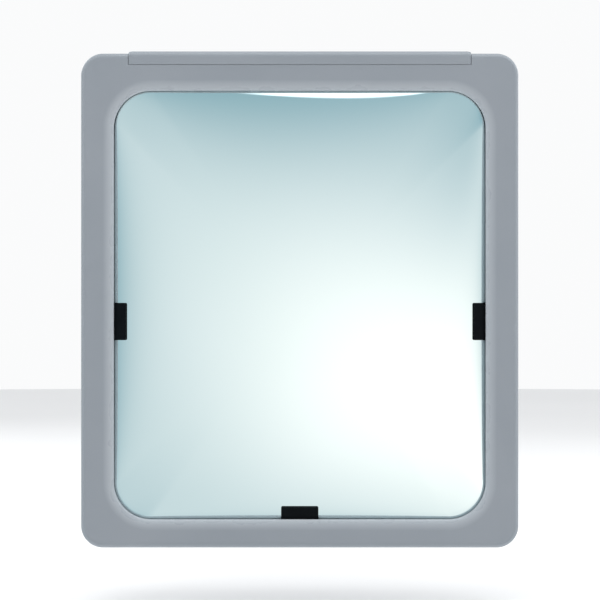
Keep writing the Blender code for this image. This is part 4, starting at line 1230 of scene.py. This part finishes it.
def make_arm():
    """A cast arm: two barrels at right angles, blended into a bar that goes from tall to wide."""
    pivots = ((PAN_PLACE, (0, 0, 0)), (TILT_PLACE, facing_side()))
    rings = []
    for reach, half_width, half_height in ARM_SECTIONS:
        outline = rounded_rectangle(half_width * MM, half_height * MM, 3 * MM, 6, 4)
        rings.append([(x, PAN_PLACE.y - reach * MM, z) for x, z in outline])
    arm = lofted("cast_arm", rings)
    half = BARREL_HALF + BARREL_EXTRA
    combine(arm, joins=[cylinder("barrel", BARREL_RADIUS, half, *pivot, 64) for pivot in pivots])
    remesh = arm.modifiers.new("Remesh", "REMESH")
    remesh.mode = "VOXEL"
    remesh.voxel_size = 0.8 * MM
    relax = arm.modifiers.new("Relax", "SMOOTH")
    relax.factor = 0.5
    relax.iterations = 12
    freeze(arm)
    cuts = []
    for place, rotation in pivots:
        for side in (-1, 1):
            block = prism("trim", block_outline(-30 * MM, 30 * MM, 30 * MM), TRIM_HALF, place, rotation)
            bpy.context.view_layer.update()
            block.location = block.matrix_world @ Vector((0, 0, side * (BARREL_HALF + TRIM_HALF)))
            cuts.append(block)
        cuts.append(cylinder("arm_bore", BORE, BORE_HALF_LENGTH, place, rotation))
    combine(arm, cuts=cuts)
    smooth(arm, angle=30)
    finish(arm, "arm", PAINTED_STEEL, "swivel_arm")


# ---------------------------------------------------------------- assembly

make_frame()
make_shell()
make_strip()
make_mirror()
make_foam()
make_clips()
make_screws()
make_fork()
make_wall_bracket()
make_arm()

node_body = {}
for body, nodes in frame["record"]["behaviour"]["bodies"].items():
    node_body.update(dict.fromkeys(nodes, body))
make_pivot("pan", node_body, PAN_PLACE, (math.pi, 0, 0), "pan_clamp")
make_pivot("tilt", node_body, TILT_PLACE, facing_side(), "tilt_clamp")

# Nodes that stay as packed, hidden inside the head or the knobs
for node, look in (
    ("inner_mount_plate", ZINC_STEEL),
    ("clip_screw_left", ZINC_STEEL),
    ("clip_screw_right", ZINC_STEEL),
    ("clip_screw_bottom", ZINC_STEEL),
    ("pan_knob_insert", BRASS),
    ("tilt_knob_insert", BRASS),
):
    obj = frame["nodes"][node]
    obj.data.materials.clear()
    obj.data.materials.append(look)


# ---------------------------------------------------------------- stage, light and camera

FLOOR_RADIUS, FLOOR_DROP = 6.0, 0.06
LENS, SENSOR = 150, 36
SHOWN_WIDTH = 602.7 * MM
CAMERA_X, CAMERA_Z = 0.25 * MM, 0.6 * MM
BACKDROP = (0.96, 0.965, 0.97, 1)
SKY_LOW = (0.26, 0.262, 0.268, 1)
SKY_HIGH = (1.10, 1.105, 1.115, 1)

# What shiny surfaces reflect: an even cool base, and soft lamps of one warm tint with a dark flag
# that takes light away. Each lamp has its level, its direction and its spread, across and up.
SHEEN_BASE = (0.30, 0.46, 0.52)
Lamp = namedtuple("Lamp", "level across up spread_across spread_up")
LAMP_TINT = (1.0, 0.78, 0.68)
LAMPS = (
    Lamp(0.6, 0.1, -0.4, 0.25, 0.6),  # low in front
    Lamp(1.0, 0.5, -0.1, 0.35, 0.2),  # window on the right
    Lamp(0.45, -0.25, 0.0, 0.4, 0.3),  # fill on the left
    Lamp(-0.25, 0.5, 0.25, 0.2, 0.2),  # flag high on the right
)
# Bright surroundings off to the sides: how far off they start and are full, level, and the gain
# in level across and up
RING_START, RING_FULL = 0.36, 0.62
RING_LEVEL, RING_ACROSS, RING_UP = 0.8, 0.2, 1.3
# A soft box high in front: its level, and where its edges start and are full
BOX_LEVEL = 1.2
BOX_SLANT = (0.585, 0.615)
BOX_LEFT, BOX_RIGHT = (-0.045, -0.01), (-0.14, -0.10)
BOX_BOTTOM, BOX_FRONT = (0.49, 0.53), (0.1, 0.3)


def make_floor():
    """A wide pale disc, which shiny surfaces don't reflect."""
    z = cad_low.z - FLOOR_DROP
    steps = 96
    points = [(x, y, z) for x, y in arc_points((0, 0), FLOOR_RADIUS, 0, 360, steps)[:-1]]
    mesh = mesh_from("studio_floor", lambda bm: bm.faces.new([bm.verts.new(p) for p in points]))
    floor = add_object("studio_floor", mesh)
    floor.data.materials.append(floor_paper())
    floor.visible_glossy = False


def make_world():
    """A near-white studio for matt surfaces and the backdrop, and soft glows for shiny ones."""
    world = bpy.data.worlds.new("studio")
    world.use_nodes = True
    tree = world.node_tree
    tree.nodes.clear()
    direction = add_node(tree, "ShaderNodeTexCoord").outputs["Generated"]
    parts = add_node(tree, "ShaderNodeSeparateXYZ", {0: direction}).outputs

    def maths(operation, first, second=0.0):
        return add_node(tree, "ShaderNodeMath", {0: first, 1: second}, operation=operation).outputs[0]

    def vectors(operation, first, second):
        return add_node(tree, "ShaderNodeVectorMath", {0: first, 1: second}, operation=operation).outputs[0]

    def grey(value):
        return add_node(tree, "ShaderNodeCombineXYZ", dict.fromkeys("XYZ", value)).outputs[0]

    def ramp(value, start, full, top=1.0):
        inputs = {"Value": value, "From Min": start, "From Max": full, "To Min": 0.0, "To Max": top}
        node = add_node(tree, "ShaderNodeMapRange", inputs, interpolation_type="SMOOTHSTEP")
        return node.outputs["Result"]

    total = add_node(tree, "ShaderNodeCombineXYZ", dict(zip("XYZ", SHEEN_BASE))).outputs[0]
    for lamp in LAMPS:
        offset_x = maths("DIVIDE", maths("SUBTRACT", parts["X"], lamp.across), lamp.spread_across)
        offset_z = maths("DIVIDE", maths("SUBTRACT", parts["Z"], lamp.up), lamp.spread_up)
        square = maths("ADD", maths("MULTIPLY", offset_x, offset_x), maths("MULTIPLY", offset_z, offset_z))
        strength = maths("EXPONENT", maths("MULTIPLY", square, -1.0))
        colour = [channel * lamp.level for channel in LAMP_TINT]
        total = vectors("ADD", total, vectors("MULTIPLY", grey(strength), colour))

    aside = ramp(maths("SUBTRACT", 1.0, maths("ABSOLUTE", parts["Y"])), RING_START, RING_FULL)
    gain_up = maths("MULTIPLY", maths("ABSOLUTE", parts["Z"]), RING_UP)
    lean = maths("ADD", maths("MULTIPLY", parts["X"], RING_ACROSS), gain_up)
    ring = maths("MULTIPLY", aside, maths("ADD", lean, RING_LEVEL))
    slanted = ramp(maths("ADD", parts["Z"], parts["X"]), *BOX_SLANT)
    box = maths("MULTIPLY", slanted, ramp(parts["X"], *BOX_LEFT))
    box = maths("MULTIPLY", box, ramp(maths("MULTIPLY", parts["X"], -1.0), *BOX_RIGHT))
    box = maths("MULTIPLY", box, ramp(parts["Z"], *BOX_BOTTOM))
    box = maths("MULTIPLY", box, ramp(maths("MULTIPLY", parts["Y"], -1.0), *BOX_FRONT, BOX_LEVEL))
    total = vectors("ADD", total, grey(maths("ADD", ring, box)))
    inputs = {0: ramp(parts["Z"], 0.0, 1.0), 6: SKY_LOW, 7: SKY_HIGH}
    sky = add_node(tree, "ShaderNodeMix", inputs, data_type="RGBA").outputs[2]
    looks = []
    for colour in (total, sky, BACKDROP):
        looks.append(add_node(tree, "ShaderNodeBackground", {"Color": colour, "Strength": 1.0}).outputs[0])
    shiny, matt, backdrop = looks
    path = add_node(tree, "ShaderNodeLightPath").outputs
    lit = add_node(tree, "ShaderNodeMixShader", {0: path["Is Glossy Ray"], 1: matt, 2: shiny}).outputs[0]
    seen = add_node(tree, "ShaderNodeMixShader", {0: path["Is Camera Ray"], 1: lit, 2: backdrop}).outputs[0]
    add_node(tree, "ShaderNodeOutputWorld", {"Surface": seen})
    bpy.context.scene.world = world


def add_area(name, location, size, power):
    """A soft lamp aimed at the head. Only those behind it show in shiny surfaces."""
    light = bpy.data.lights.new(name, "AREA")
    light.shape = "RECTANGLE"
    light.size, light.size_y = size
    light.energy = power
    obj = bpy.data.objects.new(name, light)
    bpy.context.scene.collection.objects.link(obj)
    obj.location = location
    aim = Vector((0, -0.15, 0)) - Vector(location)
    obj.rotation_euler = aim.to_track_quat("-Z", "Y").to_euler()
    obj.visible_glossy = location[1] > 0
    obj.visible_camera = False


def make_camera():
    """A long lens square to the mirror, showing a little more than the head's height."""
    camera_data = bpy.data.cameras.new("camera")
    camera_data.lens = LENS
    camera_data.sensor_width = SENSOR
    camera = bpy.data.objects.new("camera", camera_data)
    bpy.context.scene.collection.objects.link(camera)
    camera.location = (CAMERA_X, FACE_Y - SHOWN_WIDTH * LENS / SENSOR, CAMERA_Z)
    camera.rotation_euler = (math.pi / 2, 0, 0)
    bpy.context.scene.camera = camera


make_floor()
make_world()
make_camera()
for name, location, size, power in (
    ("right_rake", (1.6, -0.85, 0.15), (1.0, 1.4), 11),
    ("left_rake", (-1.6, -0.85, 0.15), (1.0, 1.4), 9),
    ("top_rake", (0.1, -0.9, 1.7), (1.6, 1.0), 13),
    ("key", (-0.9, -2.4, 1.9), (1.6, 1.2), 11),
    ("back_left", (-1.7, 2.2, 1.5), (1.4, 1.4), 20),
    ("back_right", (1.9, 1.6, 0.8), (1.2, 1.4), 11),
):
    add_area(name, location, size, power)
bpy.context.scene.view_settings.view_transform = "Standard"
